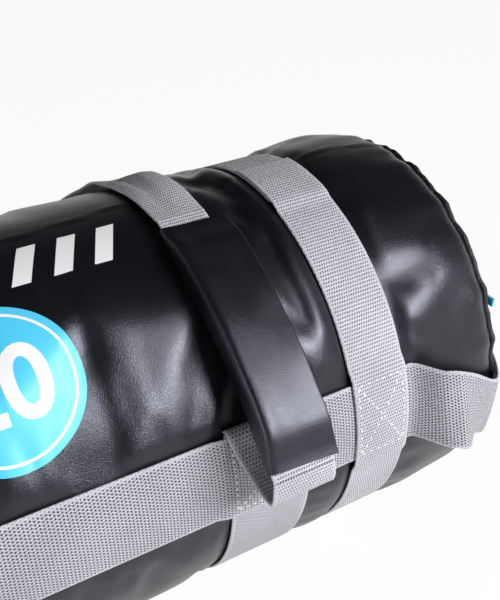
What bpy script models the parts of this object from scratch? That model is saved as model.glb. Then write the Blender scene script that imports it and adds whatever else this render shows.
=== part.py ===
# Sandbag trainer: a round leather bag with webbing bands, two sleeved grips, end loops and a filling zip.
# Metres, +Z up. X runs along the bag, -Y is its front, and the floor under its belly is z = 0.

import math

import bmesh
import bpy
from mathutils import Vector

# Bag body
BODY_RADIUS = 0.120
BODY_LENGTH = 0.576
SHELL_WALL = 0.0025
BELLY_FLAT_DEPTH = 0.0096
BELLY_BAND_CLEARANCE = 0.003
END_TAPER_LENGTH = 0.058
END_TAPER_DEPTH = 0.0042
BACK_FACET_DEPTH = 0.0012
BACK_FACET_ANGLE = math.radians(-26)
BACK_FACET_HALF_ANGLE = math.radians(24)
ROUND_SEGMENTS = 48
LEAST_FACET_SHARE = 0.05

# Webbing, sewn on in layers
WEBBING_THICKNESS = 0.0016
LAYER_GAP = 0.00045
LAYER_STEP_LENGTH = 0.008
LAYER_LAP = 0.002
MERGE_DISTANCE = 0.00004
OUTER_BAND_WIDTH = 0.037
OUTER_BAND_END_INSET = 0.090
OUTER_BAND_OVERLAP_START = math.radians(-5)
OUTER_BAND_OVERLAP_ANGLE = math.radians(17)
INNER_BAND_WIDTH = 0.050
STRAP_WIDTH = 0.050
STRAP_ANGLE = math.radians(81)
STRAP_END_REACH = 0.0028
LIP_REACH = 0.0006

# Grips on their webbing loops
GRIP_BAND_SPACING = 0.074
HANDLE_WEBBING_WIDTH = 0.038
GRIP_TOP_ANGLE = math.radians(13)
GRIP_BOTTOM_ANGLE = math.radians(75.5)
GRIP_BOTTOM_STANDOFF = 0.037
GRIP_FLATTENING = 0.0064
GRIP_WEBBING_WIDTH = 0.032
GRIP_SIDE_ROOM = 0.0033
GRIP_THICKNESS = 0.018
GRIP_SEAT_CLEARANCE = 0.0020
SLEEVE_WALL = 0.0015
SLEEVE_TOP_INSET = 0.0085
SLEEVE_BOTTOM_INSET = 0.0035
SLEEVE_MOUTH_THICKNESS = 0.0072
SLEEVE_MOUTH_LENGTH = 0.020
PIVOT_CLEARANCE = 0.0003
PAD_END_INSET = 0.030

# Webbing that hangs between a grip and the bag, as a stand-off from the body at each angle
LOOP_TOP_STANDOFF = 0.0062
LOOP_BACK_STANDOFF = 0.0355
LOOP_TWIST = 0.0105
FOLD_STANDOFF = 0.0062

# End loops
END_LOOP_BULGE = 0.0197
END_LOOP_REACH = 0.034
END_LOOP_ROOT_LENGTH = 0.018
ROOT_FLAT_SHARE = 0.06
END_LOOP_DROP = 0.030
END_LOOP_LEAN = 0.32

# Ends of the bag
BINDING_WIDTH = 0.0055
BINDING_THICKNESS = 0.0030
BINDING_OVERHANG = 0.0006

# Filling zip in the right end
ZIP_HEIGHT = 0.052
ZIP_END_CLEARANCE = 0.002
ZIP_SLOT_HEIGHT = 0.0066
ZIP_TAPE_WIDTH = 0.011
ZIP_TAPE_THICKNESS = 0.0008
ZIP_TAPE_END = 0.004
ZIP_TEETH_WIDTH = 0.0050
ZIP_TEETH_THICKNESS = 0.0020
SLIDER_LENGTH = 0.012
SLIDER_WIDTH = 0.0095
SLIDER_THICKNESS = 0.0034
SLIDER_PARK_INSET = 0.008
EAR_THICKNESS = 0.0014
PIN_RADIUS = 0.0010
PIN_CLEARANCE = 0.0003
KNUCKLE_RADIUS = 0.0022
PULL_LENGTH = 0.029
PULL_WIDTH = 0.0055
PULL_THICKNESS = 0.0014

# Filling
PADDING_CLEARANCE = 0.0008
WADDING_THICKNESS = 0.016
SAND_BAG_COUNT = 4
SAND_BAG_CLEARANCE = 0.0004
SAND_BAG_CORNER = 0.018

# Round number badge
BADGE_RADIUS = 0.041
BADGE_ANGLE = math.radians(41)
BADGE_THICKNESS = 0.0005
BADGE_RINGS = 5
BADGE_SEGMENTS = 40

# Finishes: base colour, metallic, roughness
LEATHER = ("black_leather", (0.018, 0.019, 0.022), 0.0, 0.42)
WEBBING = ("grey_webbing", (0.42, 0.41, 0.45), 0.0, 0.85)
BINDING = ("black_binding", (0.015, 0.016, 0.018), 0.0, 0.7)
GRIP_LEATHER = ("grip_leather", (0.02, 0.02, 0.022), 0.0, 0.38)
FOAM = ("pad_foam", (0.08, 0.08, 0.085), 0.0, 0.95)
SAND_CLOTH = ("sand_cloth", (0.30, 0.27, 0.22), 0.0, 0.95)
WADDING = ("wadding", (0.55, 0.54, 0.52), 0.0, 1.0)
BADGE_FILM = ("cyan_film", (0.09, 0.61, 0.92), 0.0, 0.5)
ZIP_CLOTH = ("zip_tape", (0.02, 0.02, 0.02), 0.0, 0.9)
ZIP_NYLON = ("zip_nylon", (0.03, 0.03, 0.03), 0.0, 0.5)
ZIP_METAL = ("zip_metal", (0.45, 0.45, 0.46), 1.0, 0.35)
PULL_CYAN = ("cyan_pull", (0.05, 0.60, 0.90), 0.0, 0.6)

# Worked out from the sizes above
AXIS_HEIGHT = BODY_RADIUS - BELLY_FLAT_DEPTH
HALF_LENGTH = BODY_LENGTH / 2
LAYER_RISE = WEBBING_THICKNESS + LAYER_GAP
OUTER_BAND_X = HALF_LENGTH - OUTER_BAND_END_INSET
GRIP_X = OUTER_BAND_X - GRIP_BAND_SPACING
BELLY_HALF_LENGTH = GRIP_X - INNER_BAND_WIDTH / 2 - LAYER_STEP_LENGTH - BELLY_BAND_CLEARANCE
LAP_ANGLE = LAYER_LAP / BODY_RADIUS
STEP_ANGLE = LAYER_STEP_LENGTH / BODY_RADIUS
GRIP_WIDTH = GRIP_WEBBING_WIDTH + GRIP_SIDE_ROOM * 2
GRIP_TOP_STANDOFF = GRIP_THICKNESS / 2 + GRIP_SEAT_CLEARANCE
GRIP_HALF_ANGLE = (GRIP_BOTTOM_ANGLE - GRIP_TOP_ANGLE) / 2
GRIP_BOW = BODY_RADIUS * (1 - math.cos(GRIP_HALF_ANGLE)) - GRIP_FLATTENING
PAD_WIDTH = GRIP_WIDTH - GRIP_THICKNESS
STRAP_HALF_ANGLE = STRAP_WIDTH / 2 / (BODY_RADIUS + LAYER_GAP)
LIP_ANGLE = STRAP_ANGLE - STRAP_HALF_ANGLE - LIP_REACH / BODY_RADIUS
STRAP_MID_HEIGHT = BODY_RADIUS * math.cos(STRAP_ANGLE)
STRAP_END_X = OUTER_BAND_X + OUTER_BAND_WIDTH / 2 + STRAP_END_REACH
END_LOOP_PIVOT_X = STRAP_END_X + END_LOOP_ROOT_LENGTH / 2
PADDING_RADIUS = AXIS_HEIGHT - LAYER_RISE - END_TAPER_DEPTH - SHELL_WALL - PADDING_CLEARANCE
SAND_BORE_RADIUS = PADDING_RADIUS - WADDING_THICKNESS
BINDING_BORE = BODY_RADIUS - END_TAPER_DEPTH + BINDING_OVERHANG - BINDING_WIDTH - SHELL_WALL
TAPE_GAP = ZIP_TEETH_WIDTH / 2 + LAYER_GAP
TAPE_EDGE_HEIGHT = ZIP_HEIGHT + TAPE_GAP + ZIP_TAPE_WIDTH
TAPE_HALF_LENGTH = math.sqrt(BINDING_BORE**2 - TAPE_EDGE_HEIGHT**2) - ZIP_END_CLEARANCE
ZIP_HALF_LENGTH = TAPE_HALF_LENGTH - ZIP_TAPE_END


def clear_scene():
    for obj in list(bpy.data.objects):
        bpy.data.objects.remove(obj, do_unlink=True)


def make_collection(name):
    collection = bpy.data.collections.new(name)
    bpy.context.scene.collection.children.link(collection)
    return collection


def finish_material(finish):
    name, colour, metallic, roughness = finish
    material = bpy.data.materials.get(name)
    if material is None:
        material = bpy.data.materials.new(name)
        material.use_nodes = True
        shader = material.node_tree.nodes["Principled BSDF"]
        shader.inputs["Base Color"].default_value = (*colour, 1.0)
        shader.inputs["Metallic"].default_value = metallic
        shader.inputs["Roughness"].default_value = roughness
    return material


def add_object(name, mesh, finish):
    mesh.materials.clear()
    mesh.materials.append(finish_material(finish))
    obj = bpy.data.objects.new(name, mesh)
    PARTS.objects.link(obj)
    return obj


def smooth_step(share):
    share = min(max(share, 0.0), 1.0)
    return share * share * (3 - 2 * share)


def taper_share(x):
    """How far x lies into the rounded end of the bag, squared, from 0 to 1."""
    into_end = (abs(x) - (HALF_LENGTH - END_TAPER_LENGTH)) / END_TAPER_LENGTH
    return min(max(into_end, 0.0), 1.0) ** 2


def facet_dip(angle):
    """The slightly flattened strip behind the bag's top seam."""
    turn = (angle - BACK_FACET_ANGLE + math.pi) % (2 * math.pi) - math.pi
    share = 1 - (turn / BACK_FACET_HALF_ANGLE) ** 2
    return BACK_FACET_DEPTH * max(share, 0.0) ** 2


def section_radius(angle, offset, x=0.0, on_floor=False):
    """Distance from the bag's axis at an angle from the top towards the front, offset out from the shell."""
    taper = END_TAPER_DEPTH * taper_share(x)
    radius = BODY_RADIUS - facet_dip(angle) - taper + offset
    flat = AXIS_HEIGHT - taper + offset - (0.0 if on_floor else LAYER_RISE)
    down = -math.cos(angle)
    return min(radius, flat / down) if down > 0 else radius


def around(angle, radius):
    """(y, z) at an angle from the top towards the front, at a distance from the bag's axis."""
    return -radius * math.sin(angle), AXIS_HEIGHT + radius * math.cos(angle)


def body_point(x, angle, offset, on_floor=False):
    y, z = around(angle, section_radius(angle, offset, x, on_floor))
    return Vector((x, y, z))


def round_angles(start, end, extra=()):
    """Angles of the shell's own facets between two angles, with both ends and any extra ones."""
    step = 2 * math.pi / ROUND_SEGMENTS
    inside = [index * step for index in range(math.ceil(start / step), math.floor(end / step) + 1)]
    wanted = sorted([start, end, *extra, *inside])
    kept = [wanted[0]]
    for angle in wanted[1:]:
        if angle - kept[-1] > step * LEAST_FACET_SHARE:
            kept.append(angle)
    return kept


def face_outwards(cell):
    """Turns the faces of an open sheet to point away from the bag's axis."""
    cell.normal_update()
    outwards = 0.0
    for face in cell.faces:
        middle = face.calc_center_median()
        away = Vector((0.0, middle.y, middle.z - AXIS_HEIGHT))
        outwards += face.normal.dot(away) * face.calc_area()
    if outwards < 0:
        bmesh.ops.reverse_faces(cell, faces=cell.faces)


def sheet(name, rows, finish, thickness, side, closed=False):
    """A grid primitive laid through rows of points and thickened to one side of it."""
    cell = bmesh.new()
    bmesh.ops.create_grid(cell, x_segments=len(rows) - 1, y_segments=len(rows[0]) - 1, size=0.5)
    for vertex in cell.verts:
        row = round((vertex.co.x + 0.5) * (len(rows) - 1))
        column = round((vertex.co.y + 0.5) * (len(rows[0]) - 1))
        vertex.co = rows[row][column]
    if closed:
        bmesh.ops.remove_doubles(cell, verts=cell.verts, dist=MERGE_DISTANCE)
        bmesh.ops.recalc_face_normals(cell, faces=cell.faces)
    else:
        face_outwards(cell)
    mesh = bpy.data.meshes.new(name)
    cell.to_mesh(mesh)
    cell.free()
    mesh.shade_smooth()
    mesh.set_sharp_from_angle(angle=math.radians(35))
    obj = add_object(name, mesh, finish)
    thicken = obj.modifiers.new("thickness", "SOLIDIFY")
    thicken.thickness = thickness
    thicken.offset = side
    thicken.use_even_offset = True
    thicken.use_quality_normals = True
    return obj


def outline_plate(name, outlines, x, thickness, finish):
    """A flat piece square to X, from closed outlines of (y, z), the first round the others as holes."""
    curve = bpy.data.curves.new(name, "CURVE")
    curve.dimensions = "2D"
    curve.fill_mode = "BOTH"
    curve.extrude = thickness / 2
    for outline in outlines:
        spline = curve.splines.new("POLY")
        spline.points.add(len(outline) - 1)
        for point, (y, z) in zip(spline.points, outline):
            point.co = (y, z, 0.0, 1.0)
        spline.use_cyclic_u = True
    curve.materials.append(finish_material(finish))
    obj = bpy.data.objects.new(name, curve)
    obj.location = (x, 0.0, 0.0)
    obj.rotation_euler = (math.pi / 2, 0.0, math.pi / 2)
    PARTS.objects.link(obj)
    return obj


def section_outline(x, offset):
    return [around(angle, section_radius(angle, offset, x)) for angle in round_angles(0.0, 2 * math.pi)[:-1]]


def rectangle_outline(y_half, z_low, z_high):
    return [(-y_half, z_low), (y_half, z_low), (y_half, z_high), (-y_half, z_high)]


def box(name, low, high, finish):
    mesh = bpy.data.meshes.new(name)
    cell = bmesh.new()
    bmesh.ops.create_cube(cell, size=1.0)
    middle = [(a + b) / 2 for a, b in zip(low, high)]
    side = [b - a for a, b in zip(low, high)]
    for vertex in cell.verts:
        vertex.co = [m + s * c for m, s, c in zip(middle, side, vertex.co)]
    cell.to_mesh(mesh)
    cell.free()
    return add_object(name, mesh, finish)


def upright_cylinder(name, centre, radius, height, finish):
    mesh = bpy.data.meshes.new(name)
    cell = bmesh.new()
    bmesh.ops.create_cone(
        cell, cap_ends=True, segments=16, radius1=radius, radius2=radius, depth=height
    )
    bmesh.ops.translate(cell, verts=cell.verts, vec=centre)
    cell.to_mesh(mesh)
    cell.free()
    return add_object(name, mesh, finish)


def combine(obj, other, operation):
    """Joins or cuts obj with another solid, which becomes a hidden cutter."""
    PARTS.objects.unlink(other)
    CUTTERS.objects.link(other)
    other.hide_render = True
    other.display_type = "WIRE"
    cut = obj.modifiers.new(other.name, "BOOLEAN")
    cut.operation = operation
    cut.solver = "EXACT"
    cut.object = other


def hang_on(name, point, pieces):
    """Parents the moving pieces to an empty on their joint, without shifting them."""
    pivot = bpy.data.objects.new(name, None)
    pivot.location = point
    pivot.empty_display_size = WEBBING_THICKNESS
    PARTS.objects.link(pivot)
    bpy.context.view_layer.update()
    for piece in pieces:
        obj = bpy.data.objects[piece]
        obj.parent = pivot
        obj.matrix_parent_inverse = pivot.matrix_world.inverted()
    return pivot


def smooth_path(points, steps):
    """A Catmull-Rom curve through the points, with this many steps from one to the next."""
    padded = [points[0] * 2 - points[1], *points, points[-1] * 2 - points[-2]]
    path = []
    for index in range(1, len(padded) - 2):
        a, b, c, d = padded[index - 1 : index + 3]
        for step in range(steps):
            t = step / steps
            square = (a * 2 - b * 5 + c * 4 - d) * t**2
            cube = (b * 3 - a - c * 3 + d) * t**3
            path.append((b * 2 + (c - a) * t + square + cube) / 2)
    path.append(points[-1].copy())
    return path


def shell_stations():
    """Places along X where the shell has an edge loop: its belly, its straight part and its rounded ends."""
    belly = BELLY_HALF_LENGTH
    taper_start = HALF_LENGTH - END_TAPER_LENGTH
    taper_steps = 4
    half = [0.0, belly, belly + LAYER_STEP_LENGTH, (belly + taper_start) / 2]
    half += [taper_start + END_TAPER_LENGTH * step / taper_steps for step in range(taper_steps + 1)]
    return [-x for x in reversed(half[1:])] + half


def make_shell():
    rows = []
    for x in shell_stations():
        on_floor = abs(x) <= BELLY_HALF_LENGTH
        rows.append([body_point(x, angle, 0.0, on_floor) for angle in round_angles(0.0, 2 * math.pi)])
    sheet("outer_shell", rows, LEATHER, SHELL_WALL, -1, closed=True)


def make_end(side, label):
    """The round end panel inside the shell's mouth, and the bound seam that joins the two."""
    outlines = [section_outline(HALF_LENGTH, -(SHELL_WALL + LAYER_GAP))]
    if side > 0:
        middle = AXIS_HEIGHT + ZIP_HEIGHT
        outlines.append(
            rectangle_outline(ZIP_HALF_LENGTH, middle - ZIP_SLOT_HEIGHT / 2, middle + ZIP_SLOT_HEIGHT / 2)
        )
    outline_plate(f"end_panel_{label}", outlines, side * (HALF_LENGTH - SHELL_WALL / 2), SHELL_WALL, LEATHER)
    ring = [
        section_outline(HALF_LENGTH, BINDING_OVERHANG),
        section_outline(HALF_LENGTH, BINDING_OVERHANG - BINDING_WIDTH - SHELL_WALL),
    ]
    ring_x = side * (HALF_LENGTH + LAYER_GAP + BINDING_THICKNESS / 2)
    outline_plate(f"end_binding_{label}", ring, ring_x, BINDING_THICKNESS, BINDING)


def make_inner_band(side, label):
    """Runs round the belly from the front strap to the back one, under both."""
    angles = round_angles(LIP_ANGLE, 2 * math.pi - LIP_ANGLE)
    xs = [side * GRIP_X - INNER_BAND_WIDTH / 2, side * GRIP_X + INNER_BAND_WIDTH / 2]
    rows = [[body_point(x, angle, LAYER_GAP) for angle in angles] for x in xs]
    sheet(f"inner_band_{label}", rows, WEBBING, WEBBING_THICKNESS, 1)


def strap_layer(x):
    """Height of a lengthwise strap: it climbs over the two inner bands."""
    clear = abs(abs(x) - GRIP_X) - INNER_BAND_WIDTH / 2 - LAYER_LAP
    return LAYER_GAP + LAYER_RISE * smooth_step(1 - clear / LAYER_STEP_LENGTH)


def strap_stations():
    edge = INNER_BAND_WIDTH / 2 + LAYER_LAP
    half = [GRIP_X - edge - LAYER_STEP_LENGTH, GRIP_X - edge, GRIP_X, GRIP_X + edge]
    half += [GRIP_X + edge + LAYER_STEP_LENGTH, STRAP_END_X]
    return [-x for x in reversed(half)] + [0.0] + half


def strap_angles(turn):
    angles = round_angles(STRAP_ANGLE - STRAP_HALF_ANGLE, STRAP_ANGLE + STRAP_HALF_ANGLE)
    return angles if turn > 0 else [-angle for angle in reversed(angles)]


def make_strap(turn, label):
    rows = []
    for x in strap_stations():
        rows.append([body_point(x, angle, strap_layer(x)) for angle in strap_angles(turn)])
    sheet(f"{label}_strap", rows, WEBBING, WEBBING_THICKNESS, 1)


def band_layer(angle):
    """Height of an outer band: it climbs over both straps, and over its own end at the top seam."""
    turn = abs((angle + math.pi) % (2 * math.pi) - math.pi)
    over_strap = 1 - (abs(turn - STRAP_ANGLE) - STRAP_HALF_ANGLE - LAP_ANGLE) / STEP_ANGLE
    into_band = angle - OUTER_BAND_OVERLAP_START - OUTER_BAND_OVERLAP_ANGLE - 2 * LAP_ANGLE
    over_end = 1 - into_band / STEP_ANGLE
    return LAYER_GAP + LAYER_RISE * max(smooth_step(over_strap), smooth_step(over_end))


def make_outer_band(side, label):
    """A full turn of webbing whose upper end is sewn down over its lower one."""
    reach = STRAP_HALF_ANGLE + LAP_ANGLE
    extra = []
    for middle in (STRAP_ANGLE, 2 * math.pi - STRAP_ANGLE):
        extra += [middle - reach - STEP_ANGLE, middle - reach, middle + reach, middle + reach + STEP_ANGLE]
    overlap_end = OUTER_BAND_OVERLAP_START + OUTER_BAND_OVERLAP_ANGLE
    extra += [overlap_end + 2 * LAP_ANGLE, overlap_end + 2 * LAP_ANGLE + STEP_ANGLE]
    angles = round_angles(OUTER_BAND_OVERLAP_START, overlap_end + 2 * math.pi, extra)
    xs = [side * OUTER_BAND_X - OUTER_BAND_WIDTH / 2, side * OUTER_BAND_X + OUTER_BAND_WIDTH / 2]
    rows = [[body_point(x, angle, band_layer(angle)) for angle in angles] for x in xs]
    sheet(f"outer_band_{label}", rows, WEBBING, WEBBING_THICKNESS, 1)


def grip_point(share, outward=0.0):
    """(y, z) along the middle of a grip, from its top to its bottom, and outwards from there."""
    top = Vector(around(GRIP_TOP_ANGLE, BODY_RADIUS + GRIP_TOP_STANDOFF))
    bottom = Vector(around(GRIP_BOTTOM_ANGLE, BODY_RADIUS + GRIP_BOTTOM_STANDOFF))
    run = bottom - top
    chord_normal = Vector((run.y, -run.x)).normalized()
    point = top + run * share + chord_normal * GRIP_BOW * 4 * share * (1 - share)
    slope = run + chord_normal * GRIP_BOW * 4 * (1 - 2 * share)
    return point + Vector((slope.y, -slope.x)).normalized() * outward


def grip_length():
    return (grip_point(1.0) - grip_point(0.0)).length


def ribbon(name, path, x, width, finish, thickness=WEBBING_THICKNESS):
    """Webbing of one width along X that follows a path of (y, z)."""
    rows = [[Vector((x + shift, point.x, point.y)) for point in path] for shift in (-width / 2, width / 2)]
    return sheet(name, rows, finish, thickness, 0)


def sleeve_stations():
    """Shares of a grip's length where its sleeve has an edge loop, each with its relative thickness."""
    length = grip_length()
    sleeve_length = length - SLEEVE_TOP_INSET - SLEEVE_BOTTOM_INSET
    middle = sleeve_length - 2 * SLEEVE_MOUTH_LENGTH
    reaches = [SLEEVE_MOUTH_LENGTH * step / 4 for step in range(4)]
    reaches += [SLEEVE_MOUTH_LENGTH + middle * step / 5 for step in range(6)]
    reaches += [sleeve_length - SLEEVE_MOUTH_LENGTH * step / 4 for step in (3, 2, 1, 0)]
    narrow = SLEEVE_MOUTH_THICKNESS / GRIP_THICKNESS
    stations = []
    for reach in reaches:
        into = min(reach, sleeve_length - reach) / SLEEVE_MOUTH_LENGTH
        stations.append(((SLEEVE_TOP_INSET + reach) / length, narrow + (1 - narrow) * smooth_step(into)))
    return stations


def make_grip(side, label):
    """The leather sleeve, the two foam pads inside it and the webbing between them."""
    x = side * GRIP_X
    steps = 8
    half_flat = (GRIP_WIDTH - GRIP_THICKNESS) / 2
    arc_steps = 5
    section = []
    for turn in (0, 1):
        for step in range(arc_steps + 1):
            angle = math.pi * (step / arc_steps + turn)
            shift = half_flat * (1 if turn == 0 else -1)
            across = shift + GRIP_THICKNESS / 2 * math.sin(angle)
            section.append((across, GRIP_THICKNESS / 2 * math.cos(angle)))
    section.append(section[0])
    rows = []
    for share, scale in sleeve_stations():
        row = [Vector((x + across, *grip_point(share, outward * scale))) for across, outward in section]
        rows.append(row)
    sheet(f"grip_sleeve_{label}", rows, GRIP_LEATHER, SLEEVE_WALL, -1, closed=True)

    start = PIVOT_CLEARANCE / grip_length()
    path = [grip_point(start + (1 - 2 * start) * step / steps) for step in range(steps + 1)]
    ribbon(f"grip_webbing_{label}", path, x, GRIP_WEBBING_WIDTH, WEBBING)

    pad_inset = PAD_END_INSET / grip_length()
    pad_room = GRIP_THICKNESS / 2 - SLEEVE_WALL - WEBBING_THICKNESS / 2
    pad_thickness = pad_room - 2 * LAYER_GAP
    pad_middle = WEBBING_THICKNESS / 2 + LAYER_GAP + pad_thickness / 2
    for outward, face in ((pad_middle, "outer"), (-pad_middle, "inner")):
        pad_shares = [pad_inset + (1 - 2 * pad_inset) * step / steps for step in range(steps + 1)]
        pad_path = [grip_point(share, outward) for share in pad_shares]
        ribbon(f"grip_pad_{face}_{label}", pad_path, x, PAD_WIDTH, FOAM, pad_thickness)
    names = ("grip_sleeve", "grip_webbing", "grip_pad_outer", "grip_pad_inner")
    hang_on(f"grip_pivot_{label}", (x, *grip_point(0.0)), [f"{name}_{label}" for name in names])


def leg_width(spread):
    """Width of handle webbing: 1 at the inner band, 0 where it hangs free, -1 gathered at a grip."""
    other = INNER_BAND_WIDTH if spread > 0 else GRIP_WEBBING_WIDTH
    return HANDLE_WEBBING_WIDTH + (other - HANDLE_WEBBING_WIDTH) * abs(spread)


def fold_places(turn):
    """Angle, stand-off, spread and lean of the fold that a handle's webbing makes over a strap's edge."""
    start = LIP_ANGLE - (WEBBING_THICKNESS / 2 + LAYER_GAP * 3 / 2) / BODY_RADIUS
    width_angle = STRAP_HALF_ANGLE * 2
    shares = [(0.0, 0.0, 0.98), (0.0, 0.62, 0.98), (0.065, 1.0, 0.98), (0.16, 1.12, 0.8), (0.27, 1.5, 0.6)]
    places = []
    for angle_share, rise_share, spread in shares:
        rise = LAYER_GAP + (FOLD_STANDOFF - LAYER_GAP) * rise_share
        places.append((turn * (start + width_angle * angle_share), rise, spread, 0.0))
    return places


def handle_leg(name, places, share, x):
    """Handle webbing through places of (angle, stand-off, spread, lean), up to one end of its grip.

    A lean of 1 lifts the edge towards the bag's middle a full twist above the other edge.
    """
    path = []
    for angle, standoff, spread, lean in places:
        path.append(Vector((*around(angle, BODY_RADIUS + standoff), spread, lean)))
    end = grip_point(share)
    last = end + (path[-1].to_2d() - end).normalized() * LAYER_GAP
    path.append(Vector((*last, -1.0, 0.0)))
    line = smooth_path(path, 2)
    rows = [[], []]
    for index, point in enumerate(line):
        run = line[min(index + 1, len(line) - 1)].to_2d() - line[max(index - 1, 0)].to_2d()
        tilt = Vector((run.y, -run.x)).normalized() * LOOP_TWIST * point.w / 2
        half = leg_width(point.z) / 2
        for row, across in zip(rows, (-1, 1)):
            spot = point.to_2d() - tilt * (across if x > 0 else -across)
            row.append(Vector((x + across * half, spot.x, spot.y)))
    sheet(name, rows, WEBBING, WEBBING_THICKNESS, 0)


def make_front_leg(side, label):
    """The slack below a grip: from the fold at the strap, out, and up into the sleeve."""
    width_angle = STRAP_HALF_ANGLE * 2
    reach = GRIP_BOTTOM_STANDOFF
    tip_shares = [(0.38, 0.37, 0.27), (0.475, 0.56, 0.1), (0.53, 0.74, 0.0)]
    tip_shares += [(0.52, 0.87, 0.0), (0.43, 0.945, -0.3)]
    places = fold_places(1)
    for angle, out, spread in tip_shares:
        places.append((LIP_ANGLE + width_angle * angle, reach * out, spread, 0.0))
    handle_leg(f"handle_lower_leg_{label}", places, 1.0, side * GRIP_X)


def make_top_leg(side, label):
    """The webbing from a grip's top over the bag to the fold at the back strap."""
    width_angle = STRAP_HALF_ANGLE * 2
    reach = LOOP_BACK_STANDOFF
    tip_shares = [(0.38, 0.40, 0.27, 0.0), (0.47, 0.62, 0.1, 0.08), (0.48, 0.84, 0.0, 0.25)]
    tip_shares += [(0.36, 0.98, 0.0, 0.5), (0.16, 1.02, 0.0, 0.7)]
    places = fold_places(-1)
    for angle, out, spread, lean in tip_shares:
        places.append((-(LIP_ANGLE + width_angle * angle), reach * out, spread, lean))
    back_rise = LOOP_BACK_STANDOFF - LOOP_TOP_STANDOFF
    rising_shares = [(0.98, 0.86, 0.0, 0.8), (0.89, 0.55, -0.1, 0.95), (0.76, 0.24, -0.3, 1.0)]
    rising_shares += [(0.61, 0.035, -0.5, 0.9), (0.45, 0.0, -0.7, 0.62), (0.32, 0.0, -0.7, 0.38)]
    for angle, out, spread, lean in rising_shares:
        places.append((-LIP_ANGLE * angle, LOOP_TOP_STANDOFF + back_rise * out, spread, lean))
    top_rise = GRIP_TOP_STANDOFF - LOOP_TOP_STANDOFF
    for angle, out, lean in ((-0.9, 0.38, 0.14), (0.0, 0.83, 0.0)):
        places.append((GRIP_TOP_ANGLE * angle, LOOP_TOP_STANDOFF + top_rise * out, -0.8, lean))
    handle_leg(f"handle_upper_leg_{label}", places, 0.0, side * GRIP_X)


def end_loop_path(side):
    """An end loop's middle line, round the end from the front strap to the back one: (x, y, z, lean)."""
    root_y = BODY_RADIUS + LAYER_GAP + WEBBING_THICKNESS / 2
    bulge_y = root_y + END_LOOP_BULGE
    root_x = STRAP_END_X + END_LOOP_ROOT_LENGTH
    run = HALF_LENGTH + END_LOOP_REACH - root_x
    bulge_shares = [(0.0, 0.85, 0.0, 0.9), (0.075, 1.0, 0.03, 1.0)]
    bulge_shares += [(0.20, 0.82, 0.24, 0.5), (0.33, 0.60, 0.48, -0.2)]
    corner_shares = [(0.465, 0.906, 0.74, -0.5), (0.605, 0.870, 0.94, -0.3), (0.752, 0.785, 1.0, 0.0)]
    corner_shares += [(0.87, 0.650, 1.0, 0.0), (0.965, 0.397, 1.0, 0.0), (1.0, 0.0, 1.0, 0.0)]
    half = [(along, root_y + END_LOOP_BULGE * out, fall, lean) for along, out, fall, lean in bulge_shares]
    half += [(along, bulge_y * out, fall, lean) for along, out, fall, lean in corner_shares]
    points = []
    for turn, shares in ((1, half), (-1, half[-2::-1])):
        for along, y, fall, lean in shares:
            z = AXIS_HEIGHT + STRAP_MID_HEIGHT - END_LOOP_DROP * fall
            points.append(Vector((side * (root_x + run * along), -turn * y, z, turn * END_LOOP_LEAN * lean)))
    return smooth_path(points, 2)


def loop_edge(point, rise):
    """The place a distance above a point of the loop's middle line, leaning with it."""
    return point.to_3d() + Vector((0.0, point.w, 1.0)).normalized() * rise


def make_end_loop(side, label):
    path = end_loop_path(side)
    rows = []
    for rise in (-STRAP_WIDTH / 2, STRAP_WIDTH / 2):
        rows.append([loop_edge(point, rise) for point in path])
    sheet(f"end_loop_{label}", rows, WEBBING, WEBBING_THICKNESS, 0)
    for turn, face in ((1, "front"), (-1, "back")):
        make_loop_root(side, turn, path, f"end_loop_root_{face}_{label}")
    pivot = (side * END_LOOP_PIVOT_X, 0.0, AXIS_HEIGHT + STRAP_MID_HEIGHT)
    hang_on(f"end_loop_pivot_{label}", pivot, [f"end_loop_{label}"])


def make_loop_root(side, turn, path, name):
    """The stretch where a strap leaves the round body and flattens into the end loop."""
    end = path[0] if turn > 0 else path[-1]
    steps = 5
    lengthwise_shares = (0.0, 0.10, 0.32, 0.55, 0.78, 0.93, 1.0)
    rows = []
    for along in lengthwise_shares:
        start_x = STRAP_END_X + LAYER_GAP
        x = side * (start_x + (abs(end.x) - LAYER_GAP - start_x) * along)
        points = []
        for column in range(steps + 1):
            across = column / steps * 2 - 1
            angle = turn * (STRAP_ANGLE + STRAP_HALF_ANGLE * across)
            curved = body_point(x, angle, LAYER_GAP + WEBBING_THICKNESS / 2)
            flat = loop_edge(end, -across * STRAP_WIDTH / 2)
            flat.x = x
            points.append(curved.lerp(flat, smooth_step((along - ROOT_FLAT_SHARE) / (1 - ROOT_FLAT_SHARE))))
        rows.append(points)
    sheet(name, rows, WEBBING, WEBBING_THICKNESS, 0)


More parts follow.
